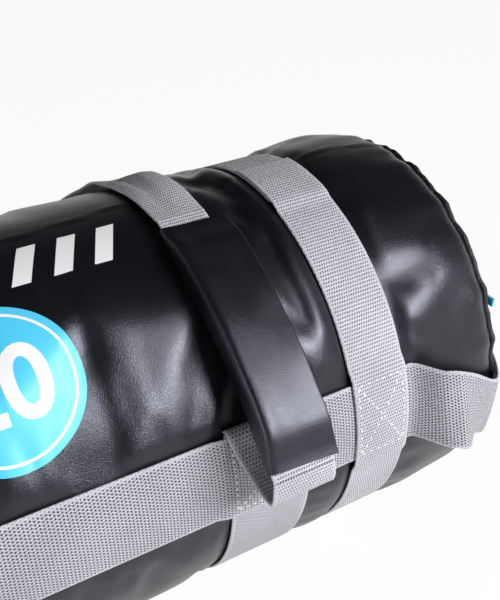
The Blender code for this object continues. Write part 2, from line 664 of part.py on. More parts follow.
def make_zip():
    """Two tapes and a toothed chain over the slot in the right end panel, with a slider and its pull."""
    middle = AXIS_HEIGHT + ZIP_HEIGHT
    face = HALF_LENGTH + LAYER_GAP
    for turn, label in ((1, "upper"), (-1, "lower")):
        edges = sorted((middle + turn * TAPE_GAP, middle + turn * (TAPE_GAP + ZIP_TAPE_WIDTH)))
        low = (face, -TAPE_HALF_LENGTH, edges[0])
        high = (face + ZIP_TAPE_THICKNESS, TAPE_HALF_LENGTH, edges[1])
        box(f"zip_tape_{label}", low, high, ZIP_CLOTH)
    teeth_x = face + ZIP_TAPE_THICKNESS
    teeth_y = ZIP_HALF_LENGTH - LAYER_GAP
    low = (teeth_x - ZIP_TEETH_THICKNESS, -teeth_y, middle - ZIP_TEETH_WIDTH / 2)
    box("zip_teeth", low, (teeth_x, teeth_y, middle + ZIP_TEETH_WIDTH / 2), ZIP_NYLON)

    park_y = -ZIP_HALF_LENGTH + SLIDER_PARK_INSET
    under = face + ZIP_TAPE_THICKNESS + LAYER_GAP
    over = under + SLIDER_THICKNESS
    half = SLIDER_WIDTH / 2
    low = (under, park_y - SLIDER_LENGTH / 2, middle - half)
    high = (over, park_y + SLIDER_LENGTH / 2, middle + half)
    slider = box("zip_slider", low, high, ZIP_METAL)
    pin_x = over + KNUCKLE_RADIUS + PIN_CLEARANCE
    ear_reach = pin_x + PIN_RADIUS + EAR_THICKNESS / 2
    ear_half = PIN_RADIUS + EAR_THICKNESS / 2
    for turn in (1, -1):
        outer, inner = turn * half, turn * (half - EAR_THICKNESS)
        edges = sorted((middle + outer, middle + inner))
        ear = box(
            f"slider_ear_{turn}",
            (over - EAR_THICKNESS, park_y - ear_half, edges[0]),
            (ear_reach, park_y + ear_half, edges[1]),
            ZIP_METAL,
        )
        combine(slider, ear, "UNION")
    pin_height = SLIDER_WIDTH - EAR_THICKNESS
    pin = upright_cylinder("slider_pin", (pin_x, park_y, middle), PIN_RADIUS, pin_height, ZIP_METAL)
    combine(slider, pin, "UNION")

    knuckle_height = SLIDER_WIDTH - 2 * EAR_THICKNESS - 2 * PIN_CLEARANCE
    pull = upright_cylinder("zip_pull", (pin_x, park_y, middle), KNUCKLE_RADIUS, knuckle_height, PULL_CYAN)
    neck_half = knuckle_height / 2
    neck_end = park_y - SLIDER_LENGTH / 2 - PULL_WIDTH / 2
    neck = box(
        "pull_neck",
        (pin_x - PULL_THICKNESS / 2, neck_end, middle - neck_half),
        (pin_x + PULL_THICKNESS / 2, park_y, middle + neck_half),
        PULL_CYAN,
    )
    tab = box(
        "pull_tab",
        (pin_x - PULL_THICKNESS / 2, park_y - PULL_LENGTH, middle - PULL_WIDTH / 2),
        (pin_x + PULL_THICKNESS / 2, neck_end + PULL_THICKNESS, middle + PULL_WIDTH / 2),
        PULL_CYAN,
    )
    bore_radius = PIN_RADIUS + PIN_CLEARANCE
    bore = upright_cylinder("pull_bore", (pin_x, park_y, middle), bore_radius, SLIDER_WIDTH, PULL_CYAN)
    combine(pull, neck, "UNION")
    combine(pull, tab, "UNION")
    combine(pull, bore, "DIFFERENCE")
    travel = hang_on("zip_slider_travel", (pin_x, park_y, middle), ["zip_slider"])
    flip = hang_on("zip_pull_pivot", (pin_x, park_y, middle), ["zip_pull"])
    flip.parent = travel
    flip.matrix_parent_inverse = travel.matrix_world.inverted()


def make_filling():
    """A wadding sleeve inside the shell, and the sealed sand bags in its bore."""
    inside = HALF_LENGTH - SHELL_WALL - PADDING_CLEARANCE
    outer = section_outline(HALF_LENGTH, -(SHELL_WALL + PADDING_CLEARANCE))
    bore = [around(angle, SAND_BORE_RADIUS) for angle in round_angles(0.0, 2 * math.pi)[:-1]]
    outline_plate("wadding_sleeve", [outer, bore], 0.0, inside * 2, WADDING)
    pitch = inside * 2 / SAND_BAG_COUNT
    for index in range(SAND_BAG_COUNT):
        make_sand_bag(f"sand_bag_{index + 1}", pitch * (index + 0.5) - inside, pitch)


def make_sand_bag(name, x, pitch):
    mesh = bpy.data.meshes.new(name)
    cell = bmesh.new()
    radius = (SAND_BORE_RADIUS - SAND_BAG_CLEARANCE) * math.cos(math.pi / ROUND_SEGMENTS)
    length = pitch - SAND_BAG_CLEARANCE
    bmesh.ops.create_cone(
        cell, cap_ends=True, segments=ROUND_SEGMENTS // 2, radius1=radius, radius2=radius, depth=length
    )
    cell.to_mesh(mesh)
    cell.free()
    mesh.shade_smooth()
    mesh.set_sharp_from_angle(angle=math.radians(35))
    bag = add_object(name, mesh, SAND_CLOTH)
    bag.rotation_euler = (0.0, math.pi / 2, 0.0)
    bag.location = (x, 0.0, AXIS_HEIGHT)
    rounding = bag.modifiers.new("soft_corners", "BEVEL")
    rounding.width = SAND_BAG_CORNER
    rounding.segments = 3
    rounding.limit_method = "ANGLE"
    rounding.angle_limit = math.radians(60)


def make_badge():
    """A round printed film at the middle of the front, bent to the shell."""
    rows = []
    for ring in range(BADGE_RINGS + 1):
        radius = BADGE_RADIUS * ring / BADGE_RINGS
        points = []
        for step in range(BADGE_SEGMENTS + 1):
            turn = 2 * math.pi * step / BADGE_SEGMENTS
            angle = BADGE_ANGLE + radius * math.sin(turn) / BODY_RADIUS
            points.append(body_point(radius * math.cos(turn), angle, LAYER_GAP))
        rows.append(points)
    sheet("number_badge", rows, BADGE_FILM, BADGE_THICKNESS, 1, closed=True)


clear_scene()
PARTS = make_collection("sandbag_trainer")
CUTTERS = make_collection("cutters")

make_shell()
for side, label in ((-1, "left"), (1, "right")):
    make_end(side, label)
    make_inner_band(side, label)
    make_outer_band(side, label)
    make_grip(side, label)
    make_front_leg(side, label)
    make_top_leg(side, label)
    make_end_loop(side, label)
make_strap(1, "front")
make_strap(-1, "back")
make_filling()
make_badge()
make_zip()
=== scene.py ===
# Sandbag trainer: leather cover, webbing, grips, prints, stitching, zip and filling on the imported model.
# Metres, +Z up. X runs along the bag, -Y is its front. Angles go from the bag's top towards its front.

import math

import bmesh
import bpy
import numpy as np
from bpy.props import FloatProperty, FloatVectorProperty, IntProperty, PointerProperty, StringProperty
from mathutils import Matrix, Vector, noise
from mathutils.bvhtree import BVHTree


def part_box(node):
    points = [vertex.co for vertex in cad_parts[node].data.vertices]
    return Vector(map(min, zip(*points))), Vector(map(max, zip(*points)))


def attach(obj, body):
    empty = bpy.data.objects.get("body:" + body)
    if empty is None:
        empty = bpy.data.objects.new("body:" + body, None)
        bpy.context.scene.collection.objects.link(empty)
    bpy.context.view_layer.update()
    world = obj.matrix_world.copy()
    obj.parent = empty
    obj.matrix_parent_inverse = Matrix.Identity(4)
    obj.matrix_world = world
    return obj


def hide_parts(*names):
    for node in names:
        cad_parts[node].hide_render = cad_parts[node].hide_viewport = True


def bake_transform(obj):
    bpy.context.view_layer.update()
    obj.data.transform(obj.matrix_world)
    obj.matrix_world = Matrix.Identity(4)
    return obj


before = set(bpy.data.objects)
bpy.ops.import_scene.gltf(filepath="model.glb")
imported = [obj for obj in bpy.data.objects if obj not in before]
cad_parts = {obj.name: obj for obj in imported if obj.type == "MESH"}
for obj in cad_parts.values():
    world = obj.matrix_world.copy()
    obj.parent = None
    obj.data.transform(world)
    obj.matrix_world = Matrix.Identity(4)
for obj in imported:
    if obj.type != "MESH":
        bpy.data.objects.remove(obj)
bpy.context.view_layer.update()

bl_info = {
    "name": "Sandbag Trainer",
    "version": (1, 0, 0),
    "blender": (4, 5, 0),
    "location": "View3D > Sidebar > Sandbag",
    "description": "Builds a leather sandbag trainer with webbing, grips, prints and a studio stage",
    "category": "Object",
}

TURN = 2 * math.pi
SIDES = ((-1, "left"), (1, "right"))
CORNERS = ((-1, -1), (1, -1), (1, 1), (-1, 1))

# Bag body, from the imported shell's own box
SHELL_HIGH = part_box("outer_shell")[1]
RADIUS = SHELL_HIGH.y
HALF_LENGTH = SHELL_HIGH.x
AXIS_Z = SHELL_HIGH.z - RADIUS
AXIS = Vector((0.0, 0.0, AXIS_Z))
LEATHER = 0.0025
TAPER_LENGTH = 0.058
TAPER_DEPTH = 0.0042
FACET_DEPTH = 0.0012
FACET_ANGLE = math.radians(-26)
FACET_HALF = math.radians(24)
BELLY_HALF = 0.088
BELLY_RAMP = 0.008
COVER_COLUMNS = 126
COVER_SPACING = 0.006
COVER_SINK = 0.0003
FLOOR_CLEARANCE = 0.0004

# Relief of the leather: heights, and the reach of each form
DENTS = ((1.0, 0.0011), (2.7, 0.0005))
CUSHION = 0.0012
CUSHION_TURN = math.radians(95)
GATHER_HEIGHT = 0.0011
GATHER_REACH = 0.013
END_DIP = 0.0020
END_DIP_REACH = 0.0065
SWELL = 0.0026
SWELL_X, SWELL_LENGTH = 0.262, 0.022
SWELL_TURN, SWELL_SPAN = -0.50, 0.38
SEAM_RIDGES = ((0.0, 0.0013, 0.0005), (0.003, 0.0015, -0.0002))
FOLD_TAIL = 0.6
DEGREE_MM = math.pi / 180 * RADIUS * 1000
HELD_RIM = 0.009
UNDERSIDE = math.radians(150)
UNDERSIDE_HOLD = 0.6

# Inflation of the leather between its webbing
PUFF_FRAMES = 20
PUFF_INWARD = 0.0028
PUFF_OUTWARD = 0.0026
PUFF_ALONG = 0.003
CLOTH = {
    "quality": 5, "mass": 0.3, "tension_stiffness": 20, "compression_stiffness": 20,
    "shear_stiffness": 10, "bending_stiffness": 1.2, "use_pressure": True,
    "uniform_pressure_force": 3.0, "shrink_min": -0.035, "vertex_group_mass": "held",
}

# Webbing
THICK = 0.0016
GAP = 0.00045
RISE = THICK + GAP
STEP = 0.008
LAP = 0.002
ROW_SPACING = 0.003
DRIFT = 0.0005
BAND_WIDTH = 0.037
BAND_X = 0.198
BAND_START = math.radians(-5)
BAND_OVERLAP = math.radians(17)
BELLY_BAND_WIDTH = 0.050
STRAP_WIDTH = 0.050
STRAP_ANGLE = math.radians(81)
STRAP_HALF = STRAP_WIDTH / 2 / (RADIUS + GAP)
STRAP_END = 0.2193
STRAP_MID_Z = AXIS_Z + RADIUS * math.cos(STRAP_ANGLE)
LIP_ANGLE = STRAP_ANGLE - STRAP_HALF - 0.0006 / RADIUS

# Grips
GRIP_X = 0.124
HANDLE_WIDTH = 0.038
GRIP_TOP = math.radians(13)
GRIP_BOTTOM = math.radians(75.5)
GRIP_BOTTOM_OUT = 0.037
GRIP_TOP_OUT = 0.011
GRIP_BOW = RADIUS * (1 - math.cos((GRIP_BOTTOM - GRIP_TOP) / 2)) - 0.0064
GATHERED_WIDTH = 0.0285
GATHER_SHIFT = 0.0030
MOUTH_WIDTH = 0.0366
CORE_STEPS = 60
SLEEVE_STATIONS = 44
SLEEVE_TOP_INSET = 0.0085
SLEEVE_BOTTOM_INSET = 0.0035
SLEEVE_MOUTH = 0.020
SLEEVE_MOUTH_SHARE = 0.4
SLEEVE_WALL = 0.0014
SLEEVE_SLACK = 0.0004
SLEEVE_SWELL = 0.0006
PAD_INSET = 0.030
PAD_OUT = 0.0035
PAD_HALF_WIDTH = 0.0098
PAD_HALF_THICK = 0.0021
LOOP_TOP_OUT = 0.0062
LOOP_BACK_OUT = 0.0355
LOOP_TWIST = 0.0105
FOLD_OUT = 0.0062

# End loops
LOOP_BULGE = 0.0197
LOOP_REACH = 0.0300
LOOP_ROOT = 0.018
ROOT_FLAT = 0.06
LOOP_DROP = 0.030
LOOP_LEAN = 0.32
LOOP_CUP = 0.0022
LOOP_ROWS = 16
LOOP_ACROSS = 12

# Ends and zip
PANEL_RINGS = 22
PANEL_COLUMNS = 180
PANEL_BULGE = 0.0045
PANEL_GATHER = 0.0009
SEAM_ROLL = 0.0030
SEAM_INSET = 0.0026
SEAM_GATHER = 0.0011
SEAM_FLOOR = 0.0012
ZIP_LOW, ZIP_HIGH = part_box("zip_teeth")
ZIP_Z = (ZIP_LOW.z + ZIP_HIGH.z) / 2
ZIP_SLOT = Vector((0.02, ZIP_HIGH.y - ZIP_LOW.y + 0.0009, 0.0066))
ZIP_FLAT_HALF = 0.014
ZIP_FLAT_END = 0.004
ZIP_FLAT_EASE = 0.02
TOOTH_PITCH = 0.0017
TOOTH_HALF = 0.00058
TOOTH_BACK = 0.0007
TOOTH_FRONT = 0.0023
TAPE_STITCH = 0.0024
TAPE_STITCH_STEP = 0.0042
TAPE_STITCH_OUT = 0.0030

# Stitching: boxes as (x from, x to, radians from, radians to), stitches as (length, gap)
BAND_BOX = (0.1822, 0.2125, 1.215, 1.580)
BAND_STITCH = (0.0028, 0.0016)
STRAP_BOX = (0.1010, 0.1465, 1.27, 1.585)
STRAP_STITCH = (0.0026, 0.0013)
STITCH_POINTS = 6

# Prints: places and sizes, then the heights of underside and face off the leather
BADGE_ANGLE = math.radians(40.5)
BARS_ANGLE = math.radians(11.5)
BARS_X = 0.034
BARS_STEP = 0.022
BAR_SIZE = (0.010, 0.026, 0.012)
DIGIT_HEIGHT = 0.036
RING_SHARES = (0.90, 0.865)
BADGE_LEVELS = (0.00004, 0.00040)
RING_LEVELS = (0.00038, 0.00056)
DIGIT_LEVELS = (0.00038, 0.00058)
BAR_LEVELS = (0.00003, 0.00026)

# Finish and stage: a light is its place, its target, its width and its height
COOL_SHEEN = (0.84, 0.85, 1.0, 1.0)
FLOOR_HALF = 20
FLOOR_GLOW = 0.94
KEY_LIGHT = ((0.64, -0.95, 0.80), (0.05, 0.0, 0.1), 0.7, 0.30)
SIDE_LIGHT = ((-1.05, -0.55, 0.50), (0.1, -0.1, 0.15), 0.35, 0.5)
CAMERA_PLACE = Vector((-0.0668, -0.4183, 0.4699))
CAMERA_VIEW = Vector((0.4257, 0.7149, -0.5547))
CAMERA_LENS = 54.0
CAMERA_FILM = 36.0


# Shapes on the round body

def clamp(value, low=0.0, high=1.0):
    return min(max(value, low), high)


def ease(share):
    share = clamp(share)
    return share * share * (3 - 2 * share)


def wrapped(angle):
    return (angle + math.pi) % TURN - math.pi


def bump(distance, reach):
    """1 at no distance, falling smoothly to nothing on both sides."""
    return math.exp(-((distance / reach) ** 2))


def turns(count):
    return [TURN * step / count for step in range(count)]


def body_radius(x, angle, lift):
    """Distance of the ideal body from its axis, with a lift off the leather."""
    taper = TAPER_DEPTH * clamp((abs(x) - HALF_LENGTH + TAPER_LENGTH) / TAPER_LENGTH) ** 2
    dip = FACET_DEPTH * max(1 - (wrapped(angle - FACET_ANGLE) / FACET_HALF) ** 2, 0.0) ** 2
    radius = RADIUS - dip - taper + lift
    down = -math.cos(angle)
    if down <= 0:
        return radius
    off_floor = RISE * ease((abs(x) - BELLY_HALF) / BELLY_RAMP) if lift <= 0 else RISE
    return min(radius, (AXIS_Z - taper + lift - off_floor) / down)


def body_point(x, angle, lift):
    return Vector((x, *polar(angle, body_radius(x, angle, lift))))


def polar(angle, radius):
    """(y, z) at an angle and a distance from the bag's axis."""
    return Vector((-radius * math.sin(angle), AXIS_Z + radius * math.cos(angle)))


def smooth_path(points, steps):
    """A Catmull-Rom curve through the points."""
    padded = [points[0] * 2 - points[1], *points, points[-1] * 2 - points[-2]]
    path = []
    for a, b, c, d in zip(padded, padded[1:], padded[2:], padded[3:]):
        bend, twist = a * 2 - b * 5 + c * 4 - d, b * 3 - a - c * 3 + d
        for step in range(steps):
            t = step / steps
            path.append((b * 2 + (c - a) * t + bend * t**2 + twist * t**3) / 2)
    path.append(points[-1].copy())
    return path


def run_lengths(path):
    lengths = [0.0]
    for a, b in zip(path, path[1:]):
        lengths.append(lengths[-1] + (b - a).length)
    return lengths


# Meshes

def face_outward(mesh):
    cell = bmesh.new()
    cell.from_mesh(mesh)
    bmesh.ops.recalc_face_normals(cell, faces=cell.faces)
    cell.to_mesh(mesh)
    cell.free()


def smooth_shade(mesh, limit):
    """Smooth shading, with edges sharper than a limit in degrees left crisp."""
    mesh.shade_smooth()
    mesh.set_sharp_from_angle(angle=math.radians(limit))


def link(obj):
    bpy.context.scene.collection.objects.link(obj)
    return obj


def make_object(name, points, faces, place=None, smooth=50, outward=True):
    mesh = bpy.data.meshes.new(name)
    mesh.from_pydata([tuple(point) for point in points], [], faces)
    if place is not None:
        layer = mesh.attributes.new("weave", "FLOAT_VECTOR", "POINT")
        layer.data.foreach_set("vector", np.array(place, np.float32).ravel())
    if outward:
        face_outward(mesh)
    smooth_shade(mesh, smooth)
    return link(bpy.data.objects.new(name, mesh))


def tube_faces(rows, columns, closed_rows=False):
    """Quads of a grid whose rows are closed rings."""
    faces = []
    for row in range(rows if closed_rows else rows - 1):
        for column in range(columns):
            a, b = row * columns, (row + 1) % rows * columns
            after = (column + 1) % columns
            faces.append((a + column, a + after, b + after, b + column))
    return faces


def bake(obj):
    """Applies the modifiers."""
    graph = bpy.context.evaluated_depsgraph_get()
    obj.data = bpy.data.meshes.new_from_object(obj.evaluated_get(graph))
    obj.modifiers.clear()
    return obj


def modify(obj, kind, **settings):
    """Adds a modifier with its settings and applies it."""
    modifier = obj.modifiers.new(kind.lower(), kind)
    for key, value in settings.items():
        setattr(modifier, key, value)
    return bake(obj)


def cell_object(name, cell):
    """An object from an edit mesh, which is used up."""
    mesh = bpy.data.meshes.new(name)
    cell.to_mesh(mesh)
    cell.free()
    return link(bpy.data.objects.new(name, mesh))


def webbing_mesh(name, stations, width, spot, thick=THICK, columns=10):
    """Webbing with rounded selvages. spot(u, v, h): a point along, across and above the underside."""
    half, edge = width / 2, thick * 0.5
    inner = [(-half + edge) + (width - 2 * edge) * step / columns for step in range(columns + 1)]
    shoulder = half - 0.3 * edge
    top = [(-shoulder, 0.8 * thick), *[(v, thick) for v in inner], (shoulder, 0.8 * thick)]
    loop = [(-half, thick / 2), *top, (half, thick / 2), *[(v, thick - h) for v, h in reversed(top)]]
    count = len(loop)
    place = [(u, v, h) for u in stations for v, h in loop]
    points = [spot(*at) for at in place]
    faces = tube_faces(len(stations), count)
    middle = count // 2
    for base in (0, (len(stations) - 1) * count):
        last = base + count
        faces.append((base, base + 1, last - 1))
        faces += [(base + k, base + k + 1, last - k - 1, last - k) for k in range(1, middle - 1)]
        faces.append((base + middle - 1, base + middle, base + middle + 1))
    return make_object(name, points, faces, place)


def steps_between(start, end, spacing):
    count = max(2, round(abs(end - start) / spacing) + 1)
    return [start + (end - start) * step / (count - 1) for step in range(count)]


def path_spot(path):
    """Gives a function for the (y, z) at a distance along a path and a height off it, and the lengths."""
    lengths = run_lengths(path)
    count = len(path)

    def spot(u, height):
        index = clamp(int(np.searchsorted(lengths, u, side="right")) - 1, 0, count - 2)
        share = clamp((u - lengths[index]) / (lengths[index + 1] - lengths[index]))
        normals = []
        for at in (index, index + 1):
            run = path[min(at + 1, count - 1)] - path[max(at - 1, 0)]
            normals.append(Vector((run.y, -run.x)).normalized())
        normal = normals[0].lerp(normals[1], share).normalized()
        return path[index].lerp(path[index + 1], share) + normal * height

    return spot, lengths


# Materials

class Bench:
    """Lays shader nodes into one tree. A value may be a number, a colour or another node's output."""

    def __init__(self, tree):
        self.tree = tree

    def feed(self, value, socket):
        if isinstance(value, bpy.types.NodeSocket):
            self.tree.links.new(value, socket)
        else:
            socket.default_value = value

    def add(self, kind, inputs=(), **settings):
        node = self.tree.nodes.new(kind)
        for key, value in settings.items():
            setattr(node, key, value)
        for key, value in dict(inputs).items():
            self.feed(value, node.inputs[key])
        return node

    def math(self, operation, *values):
        return self.add("ShaderNodeMath", enumerate(values), operation=operation).outputs[0]

    def times(self, a, b):
        return self.math("MULTIPLY", a, b)

    def plus(self, a, b):
        return self.math("ADD", a, b)

    def less(self, a, b):
        return self.math("SUBTRACT", a, b)

    def spread(self, value, low, high, to_low=0.0, to_high=1.0):
        """Maps value from one range to another with soft ends."""
        inputs = {"Value": value, "From Min": low, "From Max": high, "To Min": to_low, "To Max": to_high}
        return self.add("ShaderNodeMapRange", inputs, interpolation_type="SMOOTHSTEP").outputs[0]

    def mix(self, share, a, b):
        """Colour a where share is 0, b where it is 1."""
        node = self.add("ShaderNodeMix", {0: share}, data_type="RGBA")
        for slot, value in ((6, a), (7, b)):
            self.feed((*value, 1.0) if isinstance(value, tuple) else value, node.inputs[slot])
        return node.outputs[2]

    def stretched(self, x=1.0, y=1.0, z=1.0):
        """Coordinates in metres, multiplied by a scale for each axis."""
        coords = self.add("ShaderNodeTexCoord").outputs["Object"]
        inputs = {0: coords, 1: (x, y, z)}
        return self.add("ShaderNodeVectorMath", inputs, operation="MULTIPLY").outputs[0]

    def noise(self, coords, scale, detail=2.0, roughness=0.5):
        inputs = {"Vector": coords, "Scale": scale, "Detail": detail, "Roughness": roughness}
        return self.add("ShaderNodeTexNoise", inputs).outputs[0]

    def effect(self, name, **values):
        """The outputs of a shared effect, which is built when it is first asked for."""
        tree = bpy.data.node_groups.get(name) or EFFECTS[name](name)
        inputs = {key.replace("_", " "): value for key, value in values.items()}
        return self.add("ShaderNodeGroup", inputs, node_tree=tree).outputs


def new_effect(name, inputs, outputs):
    """A new shader node group with float sockets, its bench, its inputs and its exit node."""
    tree = bpy.data.node_groups.new(name, "ShaderNodeTree")
    for socket, default in inputs.items():
        made = tree.interface.new_socket(name=socket, in_out="INPUT", socket_type="NodeSocketFloat")
        made.default_value = default
    for socket in outputs:
        tree.interface.new_socket(name=socket, in_out="OUTPUT", socket_type="NodeSocketFloat")
    bench = Bench(tree)
    return tree, bench, bench.add("NodeGroupInput").outputs, bench.add("NodeGroupOutput").inputs


def grain_effect(name):
    """Leather grain: small domed cells with fine cross creases."""
    inputs = {"Cells": 950.0, "Creases": 1.0}
    tree, bench, entry, ends = new_effect(name, inputs, ("Height", "Pores"))
    coords = bench.stretched()
    cells = {"Vector": coords, "Scale": entry["Cells"]}
    edges = bench.add("ShaderNodeTexVoronoi", cells, feature="DISTANCE_TO_EDGE").outputs["Distance"]
    dome = bench.spread(edges, 0.0, 0.22)
    creases = bench.noise(bench.stretched(120.0, 460.0, 460.0), 1.0, 5.0, 0.6)
    lined = bench.times(creases, entry["Creases"])
    soft = bench.noise(coords, 130.0, 3.0, 0.55)
    height = bench.plus(bench.times(dome, 0.45), bench.times(lined, 0.5))
    bench.feed(bench.plus(height, bench.times(soft, 0.3)), ends["Height"])
    bench.feed(bench.less(1.0, dome), ends["Pores"])
    return tree


def patches_effect(name):
    """Broad, faint variation of a finish: cleaner and duller patches."""
    tree, bench, entry, ends = new_effect(name, {"Size": 9.0}, ("Patches",))
    broad = bench.noise(bench.stretched(), entry["Size"], 4.0, 0.6)
    bench.feed(bench.spread(broad, 0.3, 0.7), ends["Patches"])
    return tree


def weave_effect(name):
    """Webbing: rows of picks with gaps between them, slanted in columns, and turned across it if wanted.
    The webbing material darkens the gaps as painted shade.
    """
    inputs = {"Pick": 0.0021, "Column": 0.0034, "Slant": 0.9, "Half Width": 0.019}
    inputs |= {"Dots": 0.0, "Stagger": 0.0, "Turned": 0.0}
    tree, bench, entry, ends = new_effect(name, inputs, ("Height", "Gaps"))
    pick, column = entry["Pick"], entry["Column"]
    place = bench.add("ShaderNodeAttribute", attribute_name="weave").outputs["Vector"]
    apart = bench.add("ShaderNodeSeparateXYZ", {0: place}).outputs
    swap = bench.times(bench.less(apart[1], apart[0]), entry["Turned"])
    along = bench.plus(apart[0], swap)
    across = bench.less(apart[1], swap)
    row = bench.math("FLOOR", bench.plus(bench.math("DIVIDE", along, pick), 0.5))
    shift = bench.times(bench.times(row, entry["Stagger"]), column)
    zig = bench.math("PINGPONG", bench.plus(across, shift), column)
    slid = bench.plus(along, bench.times(zig, entry["Slant"]))
    rib = bench.times(bench.math("PINGPONG", bench.math("DIVIDE", slid, pick), 0.5), 2.0)
    lane = bench.math("PINGPONG", bench.times(bench.math("DIVIDE", zig, column), 2.0), 1.0)
    edge = bench.less(entry["Half Width"], bench.math("ABSOLUTE", apart[1]))
    selvage = bench.spread(edge, 0.0024, 0.0014)
    rib_gap = bench.spread(rib, 0.88, 0.36)
    lane_gap = bench.spread(lane, 0.62, 0.18)
    reach = bench.plus(bench.less(1.0, entry["Dots"]), bench.times(lane_gap, entry["Dots"]))
    gaps = bench.times(bench.times(rib_gap, reach), bench.less(1.0, bench.times(selvage, 0.6)))
    bench.feed(bench.less(1.0, gaps), ends["Height"])
    bench.feed(gaps, ends["Gaps"])
    return tree


EFFECTS = {
    "leather_grain": grain_effect, "handled_patches": patches_effect, "webbing_weave": weave_effect,
}


def once(maker):
    """Makes a material once, and hands it back when its name is asked for again."""
    def found_or_made(name, *values, **named):
        return bpy.data.materials.get(name) or maker(name, *values, **named)

    return found_or_made


def scaled(colour, factor):
    return tuple(min(value * factor, 1.0) for value in colour)


def begin_material(name):
    material = bpy.data.materials.new(name)
    material.use_nodes = True
    bench = Bench(material.node_tree)
    return material, bench, material.node_tree.nodes["Principled BSDF"]


def dress(bench, shader, colour, roughness, height, depth, **constants):
    """Feeds colour, roughness and a bump height to the shader, and sets its constants."""
    bench.feed(colour, shader.inputs["Base Color"])
    bench.feed(roughness, shader.inputs["Roughness"])
    bump = bench.add("ShaderNodeBump", {"Height": height, "Strength": 1.0, "Distance": depth})
    bench.feed(bump.outputs[0], shader.inputs["Normal"])
    for key, value in constants.items():
        shader.inputs[key.replace("_", " ")].default_value = value


@once
def leather_material(name, colour, cells=950.0, creases=1.0, depth=0.00008, rough=(0.28, 0.38)):
    material, bench, shader = begin_material(name)
    grain = bench.effect("leather_grain", Cells=cells, Creases=creases)
    patches = bench.effect("handled_patches")["Patches"]
    pores = bench.times(grain["Pores"], 0.5)
    pale = tuple(value * 1.35 + 0.0008 for value in colour)
    tone = bench.mix(pores, bench.mix(patches, tuple(colour), pale), scaled(colour, 0.4))
    roughness = bench.spread(bench.plus(patches, pores), 0.0, 1.5, *rough)
    dress(bench, shader, tone, roughness, grain["Height"], depth, IOR=1.62, Specular_Tint=COOL_SHEEN)
    return material


WEAVES = {
    # pick, column, slant, dots, stagger, turned across, painted shade in the gaps
    "plain": (0.0021, 0.0016, 0.0, 0.80, 0.5, 0.0, 0.80),
    "knit": (0.0019, 0.00195, 0.60, 0.60, 0.0, 1.0, 1.0),
    "ribbed": (0.0013, 0.30, 0.7, 0.0, 0.0, 0.0, 0.45),
}


@once
def webbing_material(name, colour, half_width, weave, scale=1.0):
    """Webbing of one of the weaves; scale makes its picks coarser or finer."""
    material, bench, shader = begin_material(name)
    pick, column, slant, dots, stagger, turned, gap_shade = WEAVES[weave]
    sizes = {"Pick": pick * scale, "Column": column * scale, "Half_Width": half_width}
    woven = bench.effect("webbing_weave", **sizes, Slant=slant, Dots=dots, Stagger=stagger, Turned=turned)
    patches = bench.effect("handled_patches", Size=25.0)["Patches"]
    fuzz = bench.noise(bench.stretched(), 1500.0, 2.0)
    tone = bench.mix(patches, scaled(colour, 0.88), scaled(colour, 1.12))
    tone = bench.mix(bench.spread(fuzz, 0.3, 0.8), tone, scaled(colour, 1.3))
    # Painted shade: the gaps between the picks are darkened nearly to black.
    tone = bench.mix(bench.times(woven["Gaps"], gap_shade), tone, scaled(colour, 0.06))
    roughness = bench.spread(woven["Gaps"], 0.0, 1.0, 0.62, 0.95)
    dress(bench, shader, tone, roughness, woven["Height"], 0.0004, Sheen_Weight=0.15, Sheen_Roughness=0.5)
    return material


@once
def cloth_material(name, colour, scale=700.0, depth=0.0002, rough=(0.75, 0.95)):
    """Plain matt cloth, tape, felt or foam: a fine two-way weave in noise, with painted shade in its low
    parts.
    """
    material, bench, shader = begin_material(name)
    warp = bench.noise(bench.stretched(y=0.25), scale, 3.0)
    weft = bench.noise(bench.stretched(x=0.25), scale, 3.0)
    height = bench.math("MAXIMUM", warp, weft)
    patches = bench.effect("handled_patches")["Patches"]
    tone = bench.mix(patches, scaled(colour, 0.85), scaled(colour, 1.15))
    # Painted shade: darker where the weave's height is low.
    tone = bench.mix(bench.spread(height, 0.6, 0.4), tone, scaled(colour, 0.55))
    dress(bench, shader, tone, bench.spread(height, 0.3, 0.7, *reversed(rough)), height, depth)
    return material


@once
def smooth_material(name, colour, metallic=0.0, rough=(0.25, 0.4), wear=0.3, gloss=0.0):
    """Metal, nylon or printed film, with fine handling marks."""
    material, bench, shader = begin_material(name)
    marks = bench.noise(bench.stretched(y=6.0, z=6.0), 160.0, 5.0, 0.65)
    patches = bench.effect("handled_patches")["Patches"]
    tone = bench.mix(bench.times(patches, wear), tuple(colour), scaled(colour, 0.8))
    roughness = bench.spread(marks, 0.3, 0.7, *rough)
    coat = {"Metallic": metallic, "Coat_Weight": gloss, "Coat_Roughness": 0.30}
    dress(bench, shader, tone, roughness, marks, 0.00004, **coat)
    return material


def settle(obj, material, body, *nodes, slot=None, joint=None):
    """Gives a piece its finish and hides the CAD nodes it stands for. It goes under its body's empty, or,
    where a joint is given, its transform is baked in instead.
    """
    obj.data.materials.clear()
    obj.data.materials.append(material)
    if joint:
        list(joint)
        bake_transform(obj)
    else:
        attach(obj, body)
    if nodes:
        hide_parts(*nodes)
    return obj


# Leather cover

FOLDS = (
    # a crest or a furrow from (x, degrees) to (x, degrees), its reach to the left and to the right
    # and its height, in millimetres
    (259, 48.5, 216, 62.5, 15.0, 12.0, 2.6),
    (227, 26, 218, 38, 7.0, 4.5, 1.1),
    (258, 36, 252, 47, 3.0, 3.0, -0.35),
    (274, 73, 289, 71, 1.6, 2.4, 0.5),
    (252, 26, 246, 38, 20.0, 16.0, 1.6),
    (161, 38, 159, 60, 6.0, 10.0, 1.3),
    (176, 62, 160, 68, 6.0, 6.0, -0.7),
    (53, 30, 51, 62, 5.0, 26.0, 1.3),
    (97, 34, 93, 60, 16.0, 6.0, 0.7),
    (71, 40, 70, 54, 4.0, 4.0, -0.2),
)


